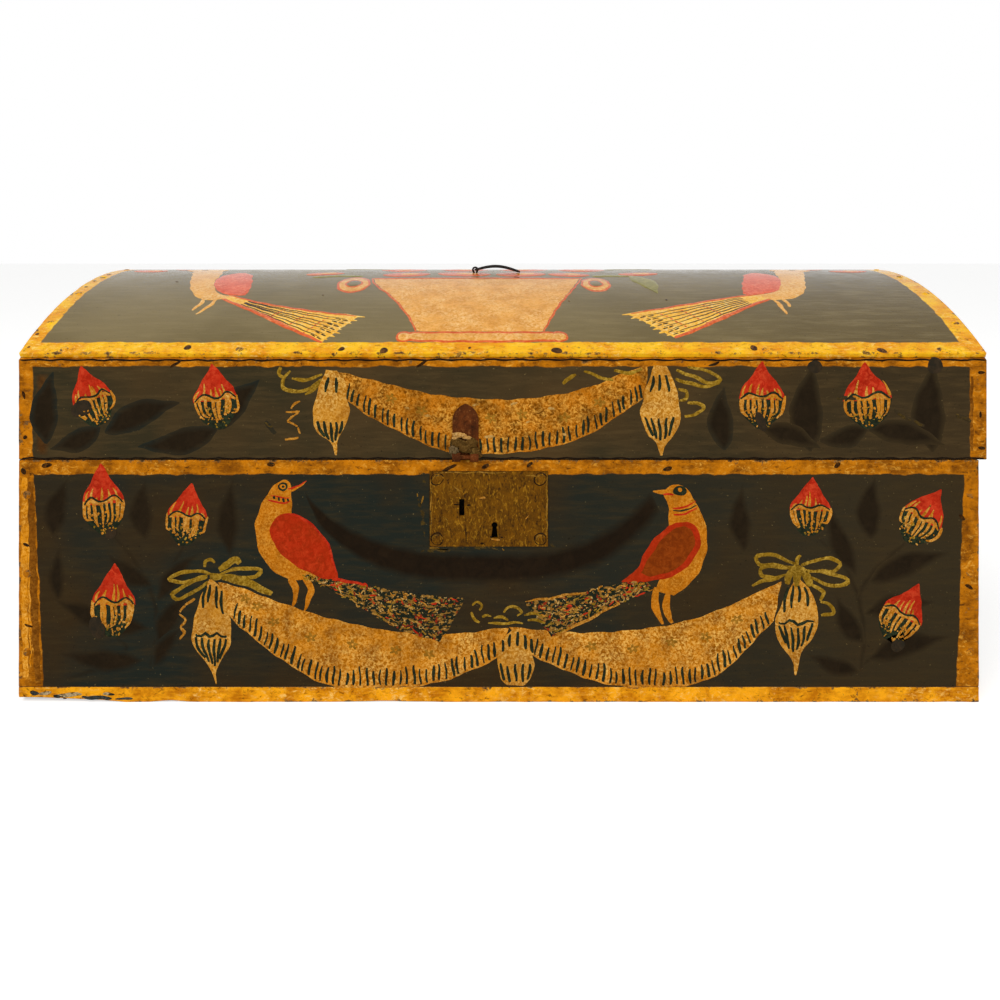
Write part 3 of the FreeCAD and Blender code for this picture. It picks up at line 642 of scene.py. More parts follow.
# Bows of ribbon over the outer tassels
ribbon(panel, [[(-149, 66.5), (-157, 68.4), (-166, 67.2), (-171.5, 63.8), (-166, 62.6), (-157, 64.4),
                (-151, 66)],
               [(-151, 65), (-160, 62.4), (-167, 58.6), (-170.5, 56), (-168.4, 54), (-162, 55.6),
                (-156, 59), (-151, 63.5)],
               [(-146, 66.5), (-138, 69), (-130, 69.8), (-123.4, 68), (-126, 65.4), (-134, 65.2),
                (-145, 66)], [(-153, 70), (-153, 73), (-150, 74), (-148, 72.5)]])
ribbon(panel, [[(-146, 69), (-141, 72), (-136.5, 74), (-134.5, 72)],
               [(-144, 64.6), (-134, 63), (-127, 60.6), (-118, 56)],
               [(-150, 66), (-147, 65.5), (-144, 65.5)]], 4.0)
ribbon(panel, [[(-158, 54), (-163, 50.5), (-166, 46.5)], [(-166.5, 46), (-163.2, 43), (-166, 39.5)],
               [(-166, 39.5), (-163.6, 36.5), (-166, 33)]], 1.5, "tan")
ribbon(panel, [[(155, 71.5), (147, 75), (139, 77.2), (134, 75.5), (135.5, 72.2), (143, 71.4), (153, 70.4)],
               [(153, 69.5), (143, 70.6), (136, 69), (136.4, 66), (142, 65), (150, 66.5)],
               [(157, 71), (165, 74), (173, 74.6), (177.6, 72.4), (175.5, 69), (168, 68), (158, 69)],
               [(159, 68.5), (168, 67.8), (177, 65.8), (182.4, 63), (178, 60.6), (170, 61.6), (160, 66)],
               [(155, 71), (155.4, 74), (157.4, 76.4)], [(132, 60.4), (136, 62.4), (146, 65)],
               [(163, 61), (169.4, 57), (166.8, 53)], [(167, 52.6), (172.6, 50), (174.2, 47), (168, 45)]])
ribbon(panel, [[(155, 71), (152, 67), (149.6, 61)], [(156, 71), (155.6, 66), (155, 60)],
               [(157, 70), (160, 66), (162.6, 60)]], 4.0)

# Left bird
patch(panel, "yellow", [(-112.4, 115.6), (-117, 113), (-121.5, 107), (-125, 100), (-127, 91), (-126, 83),
                        (-122.5, 74), (-116, 67), (-109, 64), (-100, 63.8)],
      [(-111, 115.6), (-108.4, 113.6), (-107.8, 108), (-107.6, 99), (-106, 92), (-103, 84), (-99, 76),
       (-95, 70), (-90, 66.5), (-87, 65)], 0.09, 40, 11)
patch(panel, "wing", [(-110.6, 98.6), (-115.6, 97), (-119, 92.5), (-119.4, 88), (-117, 81), (-112, 75.5),
                      (-106, 71), (-98, 67), (-90, 64), (-83.8, 62.6)],
      [(-109.4, 98.6), (-105, 97.4), (-100, 94.6), (-95, 90), (-90, 84), (-87, 77.5), (-85, 70), (-84, 66),
       (-83.4, 63.4), (-83.2, 62.8)], 0.13, 36, 9)
stroke(panel, "red", [(-112, 98.2), (-104, 96.8), (-97, 92.2), (-90.6, 84.6), (-86.8, 76), (-84.6, 66)],
       1.4, 0.16, 1.0, 26, 0.3)
left_bird_legs = ([(-109, 65), (-105.4, 58.6), (-106.4, 53), (-107.4, 49.4)],
                  [(-101.6, 64.6), (-97.8, 58.8), (-99.4, 52.6), (-101.6, 47.4)])
for leg in left_bird_legs:
    stroke(panel, "yellow", leg, 3.6, 0.095, 0.55, 18, 0.55)
oval(panel, "green", (-112.2, 112), (5.0, 4.8), 0, 0.14)
oval(panel, "yellow", (-112.2, 112), (3.0, 2.8), 0, 0.17)
oval(panel, "green", (-112.0, 112), (1.4, 1.4), 0, 0.2)
stroke(panel, "yellow", [(-109, 109.8), (-105, 111.8), (-100.6, 114.7)], 1.2, 0.1, 0.6)
stroke(panel, "red", [(-110, 110.9), (-105, 112.7), (-100, 115.2)], 0.9, 0.15, 0.8)
stroke(panel, "red", [(-120.6, 105.4), (-117, 104.2), (-112, 104), (-107.8, 105.2)], 1.1, 0.14)
stroke(panel, "red", [(-119.6, 107.8), (-116, 107), (-111.6, 106.4), (-108, 107)], 0.8, 0.14)
for x, z in ((-117.4, 106.2), (-115, 105.6), (-112.6, 105.2), (-110.2, 105.4)):
    stroke(panel, "green", [(x, z + 1.3), (x + 0.5, z - 1.0)], 1.4, 0.16, 0.8, 8)

# Right bird
patch(panel, "yellow", [(91, 113.6), (87.6, 112.2), (86, 109), (87.6, 104), (88.3, 97), (88.6, 91),
                        (88, 80), (86, 70), (83, 62.5), (82, 58)],
      [(93, 113.7), (98, 111), (101.5, 105.5), (105.5, 99), (108, 91), (108.7, 83), (107.5, 75.5),
       (104, 67.5), (97.5, 60), (91, 55)], 0.09, 40, 11)
patch(panel, "wing", [(93, 94), (88.5, 92), (84, 88), (80, 84), (76, 78), (72.5, 70.5), (68, 65.6),
                      (63.4, 62.8)],
      [(97, 94.2), (103, 91.6), (105.6, 86), (104.6, 79), (100, 71.5), (92, 66), (78, 62.8), (64, 62.2)],
      0.13, 36, 9)
patch(panel, "umber", [(93, 91.5), (88.5, 89), (84, 84.4), (80, 78.6), (76, 72), (73.5, 67)],
      [(96, 91.8), (101.4, 89), (102.4, 83), (98.5, 75), (91, 68.6), (78, 65)], 0.15, 28, 8)
right_bird_legs = ([(82.6, 60), (81, 53), (83, 46), (85.2, 40.4)],
                   [(88.6, 57), (86.8, 50.6), (88.6, 45), (90.6, 41.2)])
for leg in right_bird_legs:
    stroke(panel, "yellow", leg, 4.0, 0.1, 0.75, 18)
oval(panel, "green", (94, 110), (7.4, 5.6), -8, 0.14)
oval(panel, "yellow", (94, 110.4), (1.8, 2.4), 30, 0.17)
stroke(panel, "yellow", [(88, 110), (84, 109.4), (80.2, 109.4)], 2.2, 0.1, 0.6)
stroke(panel, "red", [(85.6, 108.6), (88.6, 108.6), (91.6, 107.6)], 1.2, 0.14)
stroke(panel, "red", [(89.4, 100.6), (94, 101.2), (98.6, 102.6), (102.6, 105)], 1.1, 0.14)
stroke(panel, "green", [(89.6, 99.4), (95, 100), (100, 101), (103.8, 102.6)], 1.0, 0.14)
stroke(panel, "red", [(90, 97.6), (95, 98), (100, 99.4), (104, 101.2)], 1.2, 0.15)


def speckled_tail(panel, upper, lower, seed):
    """A tail of short curled dashes along it, cream, tan, green, olive and red, over speckled dark green."""
    patch(panel, "speckled", upper, lower, 0.09, 34, 9)
    draw = np.random.default_rng(seed)
    a, b = through(upper, 60), through(lower, 60)
    for k in range(230):
        t, v = draw.uniform(0.02, 0.97), draw.uniform(0.03, 0.97)
        i = int(t * 58)
        start = a[i] * (1 - v) + b[i] * v
        along = (a[i + 1] - a[i]) * (1 - v) + (b[i + 1] - b[i]) * v
        heading = math.atan2(along[1], along[0]) + draw.normal(0, 0.5)
        step = np.array([math.cos(heading), math.sin(heading)]) * draw.uniform(0.8, 2.3)
        curl = np.array([-step[1], step[0]]) * draw.normal(0, 0.35)
        paint = ("cream", "green", "olive", "tan", "green", "cream", "tan", "green", "olive", "red")[k % 10]
        stroke(panel, paint, [start - step, start + curl, start + step], draw.uniform(0.55, 1.05),
               0.12 + 0.0008 * k, 1.0, 7)


left_tail_top = [(-101, 66.4), (-84, 63.4), (-70, 61), (-50, 57.6), (-30, 55.2), (-17, 54.4)]
left_tail_low = [(-103, 66), (-95, 62), (-80, 54), (-65, 45), (-48, 36), (-30, 30.6)]
speckled_tail(panel, left_tail_top, left_tail_low, 11)
stroke(panel, "red", [(-86, 64.4), (-78, 62.8), (-69, 60.8)], 1.7, 0.36)
right_tail_top = [(78, 62.4), (64, 62.2), (55, 60.2), (45, 58), (30, 54.8), (13, 52)]
right_tail_low = [(81, 58.4), (72, 55.6), (62, 50.6), (52, 45.6), (43, 40.6), (27, 33.6)]
speckled_tail(panel, right_tail_top, right_tail_low, 12)
stroke(panel, "tan", [(63, 51.2), (52, 46.2), (42, 40.8), (28, 34.4)], 1.7, 0.36, count=24)
stroke(panel, "tan", [(46, 57.6), (32, 55.2), (14, 52.4)], 1.4, 0.36, count=20)

# Scraps of a lost ornament between the tails, and rubbed ochre beside and under the lock
ribbon(panel, [[(-14, 50.5), (-11, 52), (-8.6, 50), (-10.4, 47.6)], [(-14.6, 47), (-13, 43.4), (-10, 41.6)],
               [(-6, 41.4), (0, 40.8), (8, 41.6), (13, 40.6)], [(-3, 43.6), (2, 44.2), (5, 43)],
               [(2.6, 46.4), (5, 49.4), (9, 49.6), (11.6, 46.8), (9.6, 45)],
               [(13, 45), (18, 46.2), (23, 45.4)], [(15, 42.4), (19, 43.2), (24, 41)],
               [(-9, 44.6), (-6, 45.6), (-4, 44.8)]], 1.5)
ribbon(panel, [[(-39.6, 119), (-38.6, 115), (-37.6, 112)], [(-42, 108), (-40, 98), (-38.4, 86)],
               [(-43, 79.4), (-34, 78.8), (-25, 79.8)], [(-24, 80), (-14, 80.4), (0, 80)],
               [(8, 79.4), (10.6, 78.4)], [(26.6, 82), (29.6, 81)]], 2.6, "rubbed")
ribbon(panel, [[(-42.6, 108.6), (-41.6, 104.6), (-40.6, 102.6)],
               [(-39.4, 107.8), (-39.8, 105), (-40.8, 103)], [(-36.4, 80.2), (-29, 79.8), (-26, 80.2)],
               [(9, 78.8), (10.4, 77.4)], [(1.6, 80.4), (2.6, 79.2)]], 0.8, "rubbed_pale")

# Border on the left: bright along the corner, darker inside, with its edge lost in patches at the foot
stroke(panel, "bright", [(-247.0, 118), (-246.9, 66), (-246.2, 12)], 3.8, 0.022, 1.0, 60, 0.1)
stroke(panel, "shade", [(-243.8, 116), (-242.2, 66), (-240.6, 26), (-239.8, 10)], 4.4, 0.028, 1.0, 60, 0.15)
stroke(panel, "bright", [(-245.4, 104), (-244.4, 60), (-243.6, 18)], 0.9, 0.036, 1.0, 60, 0.2)
pale_losses = ((-223.5, 3.9, 13, 2.4), (-236, 4.6, 7, 2.0), (-203, 4.2, 6, 1.6), (-215, 2.8, 5, 1.6))
for k, (x, z, wide, high) in enumerate(pale_losses):
    oval(panel, "patina", (x, z), (wide, high), 2, 0.04 + 0.003 * k)
dark_losses = ((-209, 2.4, 16, 2.2), (-229.6, 3.2, 4, 1.6), (-241.6, 5.0, 5, 2.4), (-195, 1.8, 9, 1.4))
for k, (x, z, wide, high) in enumerate(dark_losses):
    oval(panel, "patina_dark", (x, z), (wide, high), -2, 0.052 + 0.003 * k)
front_chips = ((-235.5, 123.4, 5.4, 2.8), (-118.5, 123.6, 4.4, 2.4), (88, 121.2, 4.6, 2.4),
               (-247.4, 120, 2.6, 3.4), (-26, 121.6, 9, 2.2), (-7, 122.6, 5, 2.0), (16, 123.8, 4, 1.8),
               (176, 123.4, 4, 2.0), (241, 96, 2.2, 4), (245, 60, 2.0, 5), (-246, 82, 1.6, 4),
               (-245, 40, 1.4, 5))
for k, (x, z, wide, high) in enumerate(front_chips):
    oval(panel, "chipped", (x, z), (wide, high), 6 * k, 0.04 + 0.002 * k)

# Wear on the lock plate: rings of dirt round its nails, rubbed edges, scratches and a crack below the slot,
# and a painted highlight on the upper left of each nail head.
# It is drawn in the same thin skins as the ornament.


def on_plate(grid, height):
    """The lock plate's face: across and up."""
    return np.stack([grid[..., 0], plate_low[1] - height, grid[..., 1]], -1)


panels["lock_plate"] = (on_plate, "base", "painted_iron")
panel = "lock_plate"
corner_nail = 3.8
turn = np.linspace(0.2, 2 * math.pi, 20)
circle = np.stack([np.cos(turn), np.sin(turn)], 1)
for x in (plate_low[0] + corner_nail, plate_high[0] - corner_nail):
    for z in (plate_low[2] + corner_nail, plate_high[2] - corner_nail):
        stroke(panel, "seam", (x, z) + 3.1 * circle, 0.8, 0.03, 1.0, 30, 0.2)
        # A pale arc over the upper left of each nail head: a painted highlight, in the pale rubbed paint
        stroke(panel, "rubbed_pale", (x, z) + 2.2 * circle[2:11], 0.6, 0.5, 1.0, 14)
plate_scuffs = (([(-35.2, 118), (-35.3, 100), (-35.2, 84)], 0.6),
                ([(24.9, 119), (25.0, 104), (24.9, 86)], 0.8),
                ([(-34, 119.6), (-12, 119.7), (6, 119.5)], 0.7),
                ([(-24, 113), (-21, 110.6), (-19.6, 107.6)], 0.7),
                ([(-29, 97), (-27, 94.6), (-27.6, 91)], 0.7), ([(14, 118), (20, 117), (22, 114)], 0.8))
for line, width in plate_scuffs:
    stroke(panel, "rubbed_pale", line, width, 0.06, 1.0, 16)
plate_chips = (([(-10.4, 106.5), (-8.6, 106.8), (-7, 106.3)], 1.1),
               ([(13.6, 95.4), (14.6, 96.4), (15.4, 97.4)], 0.8),
               ([(-4, 84.9), (-1.4, 84.6), (1.4, 85)], 1.0), ([(19.4, 86.4), (20.4, 85), (22, 86)], 0.8))
for line, width in plate_chips:
    stroke(panel, "tan", line, width, 0.07, 1.0, 12)
plate_cracks = (([(-23.8, 102.8), (-20.6, 102.7)], 0.9), ([(-16.6, 102.7), (-14.2, 103)], 0.9),
                ([(-17, 91), (-17.4, 87), (-16.8, 82.6)], 0.6), ([(24.4, 97.4), (25.2, 96.8)], 1.6),
                ([(-4.4, 86.2), (-3.4, 85.8)], 1.0), ([(1.2, 85.8), (2.2, 86.2)], 1.0),
                ([(-10, 83), (-8, 82.8)], 1.4))
for line, width in plate_cracks:
    stroke(panel, "seam", line, width, 0.05, 1.0, 12)

# Lid ends, front and back: beech boards nailed like the base's. The ends are arched and carry the bent
# top, and the front is painted to match the base.

lid_front_low, lid_front_high = node_box("lid_front_board")
top_low, top_high = node_box("lid_top_board")
half_depth = (top_high[1] - top_low[1]) / 2
top_thickness = 3.2
rise = 37.0
arc_radius = (half_depth**2 + rise**2) / (2 * rise)
arc_centre = top_high[2] - arc_radius
inner_radius = arc_radius - top_thickness


def under_top(points, low, high):
    """Stretches a board's upper part so that its top edge follows the underside of the bent top."""
    x, y, z = points.T
    ceiling = arc_centre + np.sqrt(inner_radius**2 - y**2)
    share = (z - low[2]) / (high[2] - low[2])
    return np.stack([x, y, low[2] + share * (ceiling - low[2])], 1)


lid_left_high = node_box("lid_left_end")[1]
lid_right_low = node_box("lid_right_end")[0]
lid_end_bands = end_bands[1:]
lid_end_paint = painted_wood("beech_painted_lid_end", lid_end_bands, ground=lid_ground, along=1)
board("lid_left_end", "lid", [lid_end_paint, beech_deep], (3, 5, 6),
      bare=[(0, lid_left_high[0], 1)], shape=under_top, wear=0.3)
board("lid_right_end", "lid", [lid_end_paint, beech_deep], (3, 5, 6),
      bare=[(0, lid_right_low[0], -1)], shape=under_top, wear=0.3)
board("lid_back_board", "lid", [beech_long], (8, 3, 6), shape=under_top, wear=0.4)
lid_bands = [("Z", lid_front_high[2] - 8.2, 1), ("X", lid_front_low[0] + 7.4, -1),
             ("X", lid_front_high[0] - 8.6, 1)]
lid_paint = painted_wood("beech_painted_lid", lid_bands, ground=lid_ground)
board("lid_front_board", "lid", [lid_paint, beech_long], (4, 3, 4),
      bare=[(1, lid_front_high[1], 1)], shape=under_top, wear=0.5)

# Painted ornament of the lid front, in the same oil colours and by the same brush: a fringed swag between
# two tassels with bows, and four rosebuds.

panels["lid_front"] = (on_front, "lid", "painted_beech")
panel = "lid_front"
lid_swag_top = [(-86, 172.6), (-78, 171), (-70, 169), (-60, 166.5), (-50, 164), (-40, 161.6), (-30, 160),
                (-20, 159), (-10, 158.3), (0, 157.9), (10, 158), (20, 159), (30, 160.3), (40, 162.4),
                (50, 165.4), (60, 169.4), (70, 173.6), (79, 176)]
lid_swag_low = [(-82, 160), (-79.5, 157.5), (-75, 154), (-70, 150), (-60, 144.5), (-50, 139.6),
                (-40, 134.7), (-30, 130.8), (-22, 129.4), (-10, 128.9), (0, 129), (10, 129.7), (20, 131),
                (30, 133.2), (42, 136.8), (58, 146), (74, 157.4), (77, 160)]
lid_leaves = (((-205, 140), (-166, 156), 15), ((-236, 134), (-232, 172), 15),
              ((-146, 142), (-124, 168), 14), ((162, 130), (164, 176), 18), ((226, 130), (227, 177), 18),
              ((192, 142), (232, 134), 13), ((-146, 142), (-188, 133), 14), ((137, 142), (168, 132), 12),
              ((118, 131), (117, 164), 14), ((-207, 143), (-234, 132), 12), ((192, 143), (166, 136), 12))
for k, (foot, tip, width) in enumerate(lid_leaves):
    leaf(panel, "leaf", foot, tip, width, 0.032 + 0.0012 * k)
patch(panel, "swag_lid", lid_swag_top, lid_swag_low, 0.06, 60, 11)
fringe(panel, lid_swag_low, 3.65, 9.0, 1.5, 0.5, 0.15)
for k, (x, z) in enumerate(((-56, 158), (-40, 152), (-4, 148), (12, 150), (34, 148), (52, 156))):
    blossom(panel, (x, z), 3.6, k)
lid_swag_chips = ((-4.6, 138.4, 6.8, 2.2), (8, 155.4, 5, 1.8), (-37, 149, 4.6, 1.6), (27, 153, 4, 1.6),
                  (15, 146, 3.2, 1.4), (-48, 153, 3.6, 1.4), (34, 139.6, 3.8, 1.6), (-12, 155, 4.4, 1.4))
for k, (x, z, wide, high) in enumerate(lid_swag_chips):
    oval(panel, "cream", (x, z), (0.8 * wide, 0.8 * high), 14 * math.sin(2 * k), 0.13 + 0.002 * k)
tassel(panel, [(-90, 173), (-93, 166), (-95.5, 158), (-97, 150), (-96.5, 144.5), (-94, 140), (-89, 137),
               (-86.6, 133), (-85.6, 128.4)],
       [(-84, 173), (-80, 167), (-78.6, 158), (-77.6, 151), (-78.6, 146), (-81, 142), (-83, 138),
        (-84, 133), (-84.8, 128.4)],
       [[(-88.6, 170), (-89.6, 165), (-90.2, 161)], [(-85, 170), (-84.6, 165), (-84, 160)],
        [(-95, 147), (-93, 142), (-89.6, 138)], [(-91.6, 147), (-90, 141), (-87.6, 136)],
        [(-88, 147), (-87, 140), (-86, 134)], [(-84.6, 147), (-84.6, 140), (-84.8, 135)],
        [(-81, 147), (-82, 143), (-83.4, 139)]])
tassel(panel, [(81, 175.5), (78, 168), (75, 158), (73.6, 150), (75, 144), (78, 139), (82, 135),
               (83.8, 128.4)],
       [(87, 175.5), (91, 168), (93.6, 158), (94.6, 150), (93.6, 143), (90.6, 139), (87, 134),
        (84.8, 128.4)],
       [[(80.6, 171), (80, 166), (79, 161)], [(83.8, 171.6), (83.6, 166), (83.4, 161)],
        [(87, 171), (87.8, 166), (88.6, 161)], [(76, 149), (78, 143), (81, 138)],
        [(79.4, 149), (80.8, 142), (82.6, 136)], [(83.4, 149), (83.8, 141), (84.2, 135)],
        [(87.4, 149), (87, 142), (86, 136)], [(91, 149), (89.8, 143), (88, 138)]])
ribbon(panel, [[(-113, 174.6), (-114.6, 171), (-111, 168.8)],
               [(-108, 172.6), (-112.6, 168), (-112, 163.4), (-105, 162), (-97, 164), (-92, 168)],
               [(-108, 168.2), (-100, 168), (-92, 170.4)], [(-101, 160), (-96, 163), (-93, 166)]], 2.0)
ribbon(panel, [[(-103, 156.6), (-106.6, 155.4), (-108.4, 153)], [(-104, 151), (-110.8, 151.4)],
               [(-104.6, 150.6), (-110, 146.2)], [(-110, 146), (-104.4, 143.4)],
               [(-104.6, 143.2), (-103.6, 140)], [(-111, 136.4), (-104.4, 138)]], 1.3, "tan")
ribbon(panel, [[(92, 173), (101, 169.6), (110, 166.2), (115.6, 167.6), (112, 171.2), (103, 173.6),
                (98, 175)], [(92, 168.6), (100, 165.8), (108, 164.6), (115, 166)],
               [(93, 163.4), (97.6, 161), (97, 157.6), (94, 156.6)],
               [(98, 156), (104, 155.6), (106.6, 153), (103, 150), (96.4, 149)],
               [(33, 165.6), (36, 168), (40, 171)], [(44, 172.4), (52, 169.4), (60, 167.4)],
               [(60, 172.6), (66, 171.4), (75, 173.6)]], 2.0)
rosebud(panel, (-207, 144), (-217.5, 175), 22, (-0.62, 0.36, 0.5, 0.42))
rosebud(panel, (-145.6, 142.4), (-149.5, 176.5), 24)
rosebud(panel, (136.6, 142.6), (137, 177.4), 24.5, (0.0, 0.1, 0.2, 0.44))
rosebud(panel, (192.8, 142.6), (190.5, 176.8), 26)
oval(panel, "bare", (164.6, 174.6), (7.4, 6.4), 0, 0.07)
oval(panel, "bare", (227.0, 175.4), (8.0, 9.2), 0, 0.074)
lid_chips = ((251.4, 171.9, 3.6, 1.8), (251.6, 132.3, 4.0, 1.8), (250.6, 150, 1.2, 3.4),
             (-247, 160, 1.6, 4), (-246.4, 138, 2.2, 2), (112, 176.2, 6, 1.4), (-40, 176.4, 8, 1.4),
             (-168, 176.2, 7, 1.4))
for k, (x, z, wide, high) in enumerate(lid_chips):
    oval(panel, "chipped", (x, z), (wide, high), 5 * k, 0.05 + 0.002 * k)
ribbon(panel, [[(206, 152), (214, 147), (222, 144)], [(176, 158), (186, 158.4)], [(-116, 140), (-122, 146)],
               [(238, 150), (246, 146)]], 2.4, "rubbed")
stroke(panel, "shade", [(246.2, 170), (246.0, 150), (246.4, 130)], 2.0, 0.04, 1.0, 40, 0.2)
stroke(panel, "shade_lid", [(-237.6, 172), (-237, 150), (-238, 128)], 9, 0.03, 1.0, 30, 0.12)
# Dark lines along the lid front's upper and lower edges: dirt in the joints and the painted shade of the gaps
for heights in ((178.2, 178.0, 178.3, 178.1, 178.2), (127.0, 126.9, 127.0, 126.9, 127.0)):
    seam = list(zip((-249.4, -120, 0, 120, 253.4), heights))
    stroke(panel, "seam", seam, 1.0, 0.05, 1.0, 160, 0.02)

# Lid top: one thin beech board bent over the arched ends and nailed round its edge. Its paint is a lighter
# olive brown than the front's, partly its own colour and partly a painted sheen of its varnish, with an ochre
# border all round.

arc_half = math.asin(half_depth / arc_radius)
arc_length = 2 * arc_half * arc_radius


def bent(points):
    """Bends a flat board over the lid: its second axis runs along the outer arc and its third inwards."""
    x, s, depth = points.T
    turn = -arc_half + s / arc_radius
    reach = arc_radius - depth
    return np.stack([x, reach * np.sin(turn), arc_centre + reach * np.cos(turn)], 1)


flat_low = np.array([top_low[0], 0.0, 0.0])
flat_high = np.array([top_high[0], arc_length, top_thickness])
top_points, top_quads = carved_block(spaced(flat_low[0], flat_high[0], 5), spaced(0, arc_length, 4),
                                     spaced(0, top_thickness, 1))
top_under = top_points[top_quads].mean(1)[:, 2] > top_thickness - face_slack
top_points, top_rim = worn_edges(top_points, flat_low, flat_high, 0.5, 4.0)
top_bands = [("X", top_low[0] + 8.2, -1), ("X", top_high[0] - 10.4, 1), ("Y", top_low[1] + 8.6, -1),
             ("Y", top_high[1] - 8.6, 1)]
top_paint = painted_wood("beech_painted_top", top_bands, edge_ochre, top_ground, gloss=0.07, shine=0.1)
piece("lid_top_board_worn", bent(top_points), top_quads, "lid", [top_paint, beech_long],
      "lid_top_board", top_under, top_rim)

# Painted ornament of the lid top, under old varnish: a basket of flowers between two birds, with its foot
# to the front.


def on_top(grid, height):
    """The bent top: across, and along the arc from the front edge."""
    turn = -arc_half + grid[..., 1] / arc_radius
    reach = arc_radius + height
    return np.stack([grid[..., 0], reach * np.sin(turn), arc_centre + reach * np.cos(turn)], -1)


panels["lid_top"] = (on_top, "lid", "painted_beech")
panel = "lid_top"
basket_left = [(-78.4, 104), (-73.2, 86), (-66.9, 74), (-58.4, 57), (-52.4, 43), (-48, 32), (-44.7, 20)]
basket_right = [(51, 104), (45.5, 84), (40.6, 69), (34.4, 52.3), (29.9, 39), (26.5, 28), (24, 20)]
patch(panel, "basket", basket_left, basket_right, 0.06, 40, 15)
for edge in (basket_left, basket_right):
    stroke(panel, "salmon", edge, 1.5, 0.12, 1.0, 30, 0.2)
stroke(panel, "salmon", [(-51, 15.4), (-40, 15.2), (-10, 15), (20, 15.2), (33, 15.4)], 11.6, 0.09, 1.0, 40,
       0.12)
for x in (-50.4, 32.4):
    oval(panel, "salmon", (x, 15.3), (9.6, 11.2), 0, 0.1)
    oval(panel, "basket", (x, 15.3), (7.2, 8.4), 0, 0.13)
stroke(panel, "basket", [(-49, 15.4), (-40, 15.2), (-10, 15), (20, 15.2), (31, 15.4)], 8.4, 0.12, 1.0, 40,
       0.12)
stroke(panel, "salmon", [(-79, 104), (-12, 106), (52, 104)], 3.4, 0.13, 1.0, 30, 0.2)
handle_layers = (("salmon", 1.0, 0.0), ("basket", 0.86, 0.0), ("salmon", 0.52, 1.0), ("ground", 0.4, 1.0))
for x, wide in ((-87.4, 20.0), (58.4, 18.0)):
    for k, (paint, share, drift) in enumerate(handle_layers):
        oval(panel, paint, (x, 90.0 + drift), (wide * share, wide * 1.85 * share), 0, 0.09 + 0.025 * k, 22)

# Flowers and leaves in the basket, most of them over the crest
basket_flowers = (((-58, 119), (30, 17), 12), ((-22, 121), (34, 18), -6), ((14, 120), (32, 18), 4),
                  ((44, 118), (26, 15), -14), ((88, 121), (26, 14), 10), ((-226, 138), (22, 16), 0),
                  ((-110, 122), (24, 12), 16), ((226, 136), (24, 14), 0))
for k, (centre, size, turn) in enumerate(basket_flowers):
    oval(panel, "salmon", centre, size, turn, 0.08 + 0.004 * k)
    oval(panel, "basket", (centre[0] + 2, centre[1] + 2), (size[0] * 0.4, size[1] * 0.4), turn,
         0.14 + 0.004 * k)
leaf(panel, "olive_light", (82, 114), (92.6, 71), 13, 0.15)
top_roses = ((-62, 148, 30), (-22, 152, 32), (16, 152, 32), (54, 148, 30), (-3, 190, 32), (-44, 186, 29),
             (38, 186, 29))
for k, (x, s, wide) in enumerate(top_roses):
    oval(panel, "salmon", (x, s), (wide, wide * 1.06), 20 * k, 0.08 + 0.004 * k, 22)
    for j, turn in enumerate(np.linspace(0.3 * k, 0.3 * k + 2 * math.pi, 6)[:-1]):
        arc = turn + np.linspace(0, 1.5, 5)
        reach = wide * np.linspace(0.4, 0.26, 5)
        stroke(panel, "wing_light", np.stack([x + reach * np.cos(arc), s + reach * np.sin(arc)], 1), 3.2,
               0.14 + 0.003 * j)
    oval(panel, "basket", (x, s), (wide * 0.3, wide * 0.32), 0, 0.18, 16)
basket_leaves = ([(58, 112), (70, 114), (82, 112)], [(-84, 112), (-100, 114), (-116, 108)],
                 [(-70, 148), (-90, 160), (-102, 154)], [(70, 150), (90, 160), (102, 152)],
                 [(-12, 212), (-24, 226), (-40, 226)], [(10, 212), (22, 226), (38, 226)])
for k, line in enumerate(basket_leaves):
    stroke(panel, "olive_light", line, 7.5, 0.2 + 0.004 * k, 0.8, 24)

# Birds on the lid
top_birds = ((-1, [(-197, 138), (-195.4, 126), (-191.6, 112), (-188.4, 98), (-185, 86), (-179, 71),
                   (-173, 62.6), (-167, 59.6), (-160, 61)],
              [(-179, 138), (-176, 126), (-174, 112), (-172.9, 96), (-169.7, 84), (-165, 73), (-160, 68),
               (-154, 66), (-150, 65)],
              [(-164, 126), (-171.4, 117), (-173.4, 105), (-170.5, 86), (-166, 76), (-159, 69.4),
               (-150, 66.4)],
              [(-162, 126), (-155, 117), (-152.6, 107), (-149.6, 95), (-148.2, 86), (-147, 76),
               (-147.6, 68)]),
             (1, [(197, 138), (194.4, 125), (189, 105), (185.4, 92), (182, 80), (176.6, 69), (168, 61.4),
                  (162, 60), (157, 60)],
              [(179, 138), (175, 122), (173, 105), (169.3, 88), (166, 80), (162, 74), (156, 70), (151, 68),
               (147, 67)],
              [(164, 126), (171.4, 117), (173.3, 105), (169.3, 87.5), (163.7, 75), (152.6, 69.4),
               (144.6, 68)],
              [(162, 126), (154.4, 117), (150.6, 103), (146.4, 90), (145.3, 84), (143.4, 75), (143, 69.4)]))
for side, body_back, body_front, wing_back, wing_front in top_birds:
    patch(panel, "yellow_light", body_back, body_front, 0.07, 30, 9)
    patch(panel, "wing_light", wing_back, wing_front, 0.11, 26, 8)
    oval(panel, "yellow_light", (side * 190, 143), (26, 24), 0, 0.08)
    oval(panel, "umber_dark", (side * 193, 146), (4.6, 4.6), 0, 0.12)
    stroke(panel, "salmon", [(side * 201, 145), (side * 208, 148), (side * 215, 153)], 2.4, 0.12, 0.7)
top_bird_legs = ([(-170, 63), (-169.8, 53.4), (-172.3, 45)], [(-162.4, 61.5), (-164.2, 50), (-168.5, 39.5)],
                 [(158, 61), (159.6, 52), (160.1, 40)], [(163.4, 63), (164.6, 56), (164.3, 50)])
for leg in top_bird_legs:
    stroke(panel, "yellow_light", leg, 2.6, 0.09, 0.8, 16)


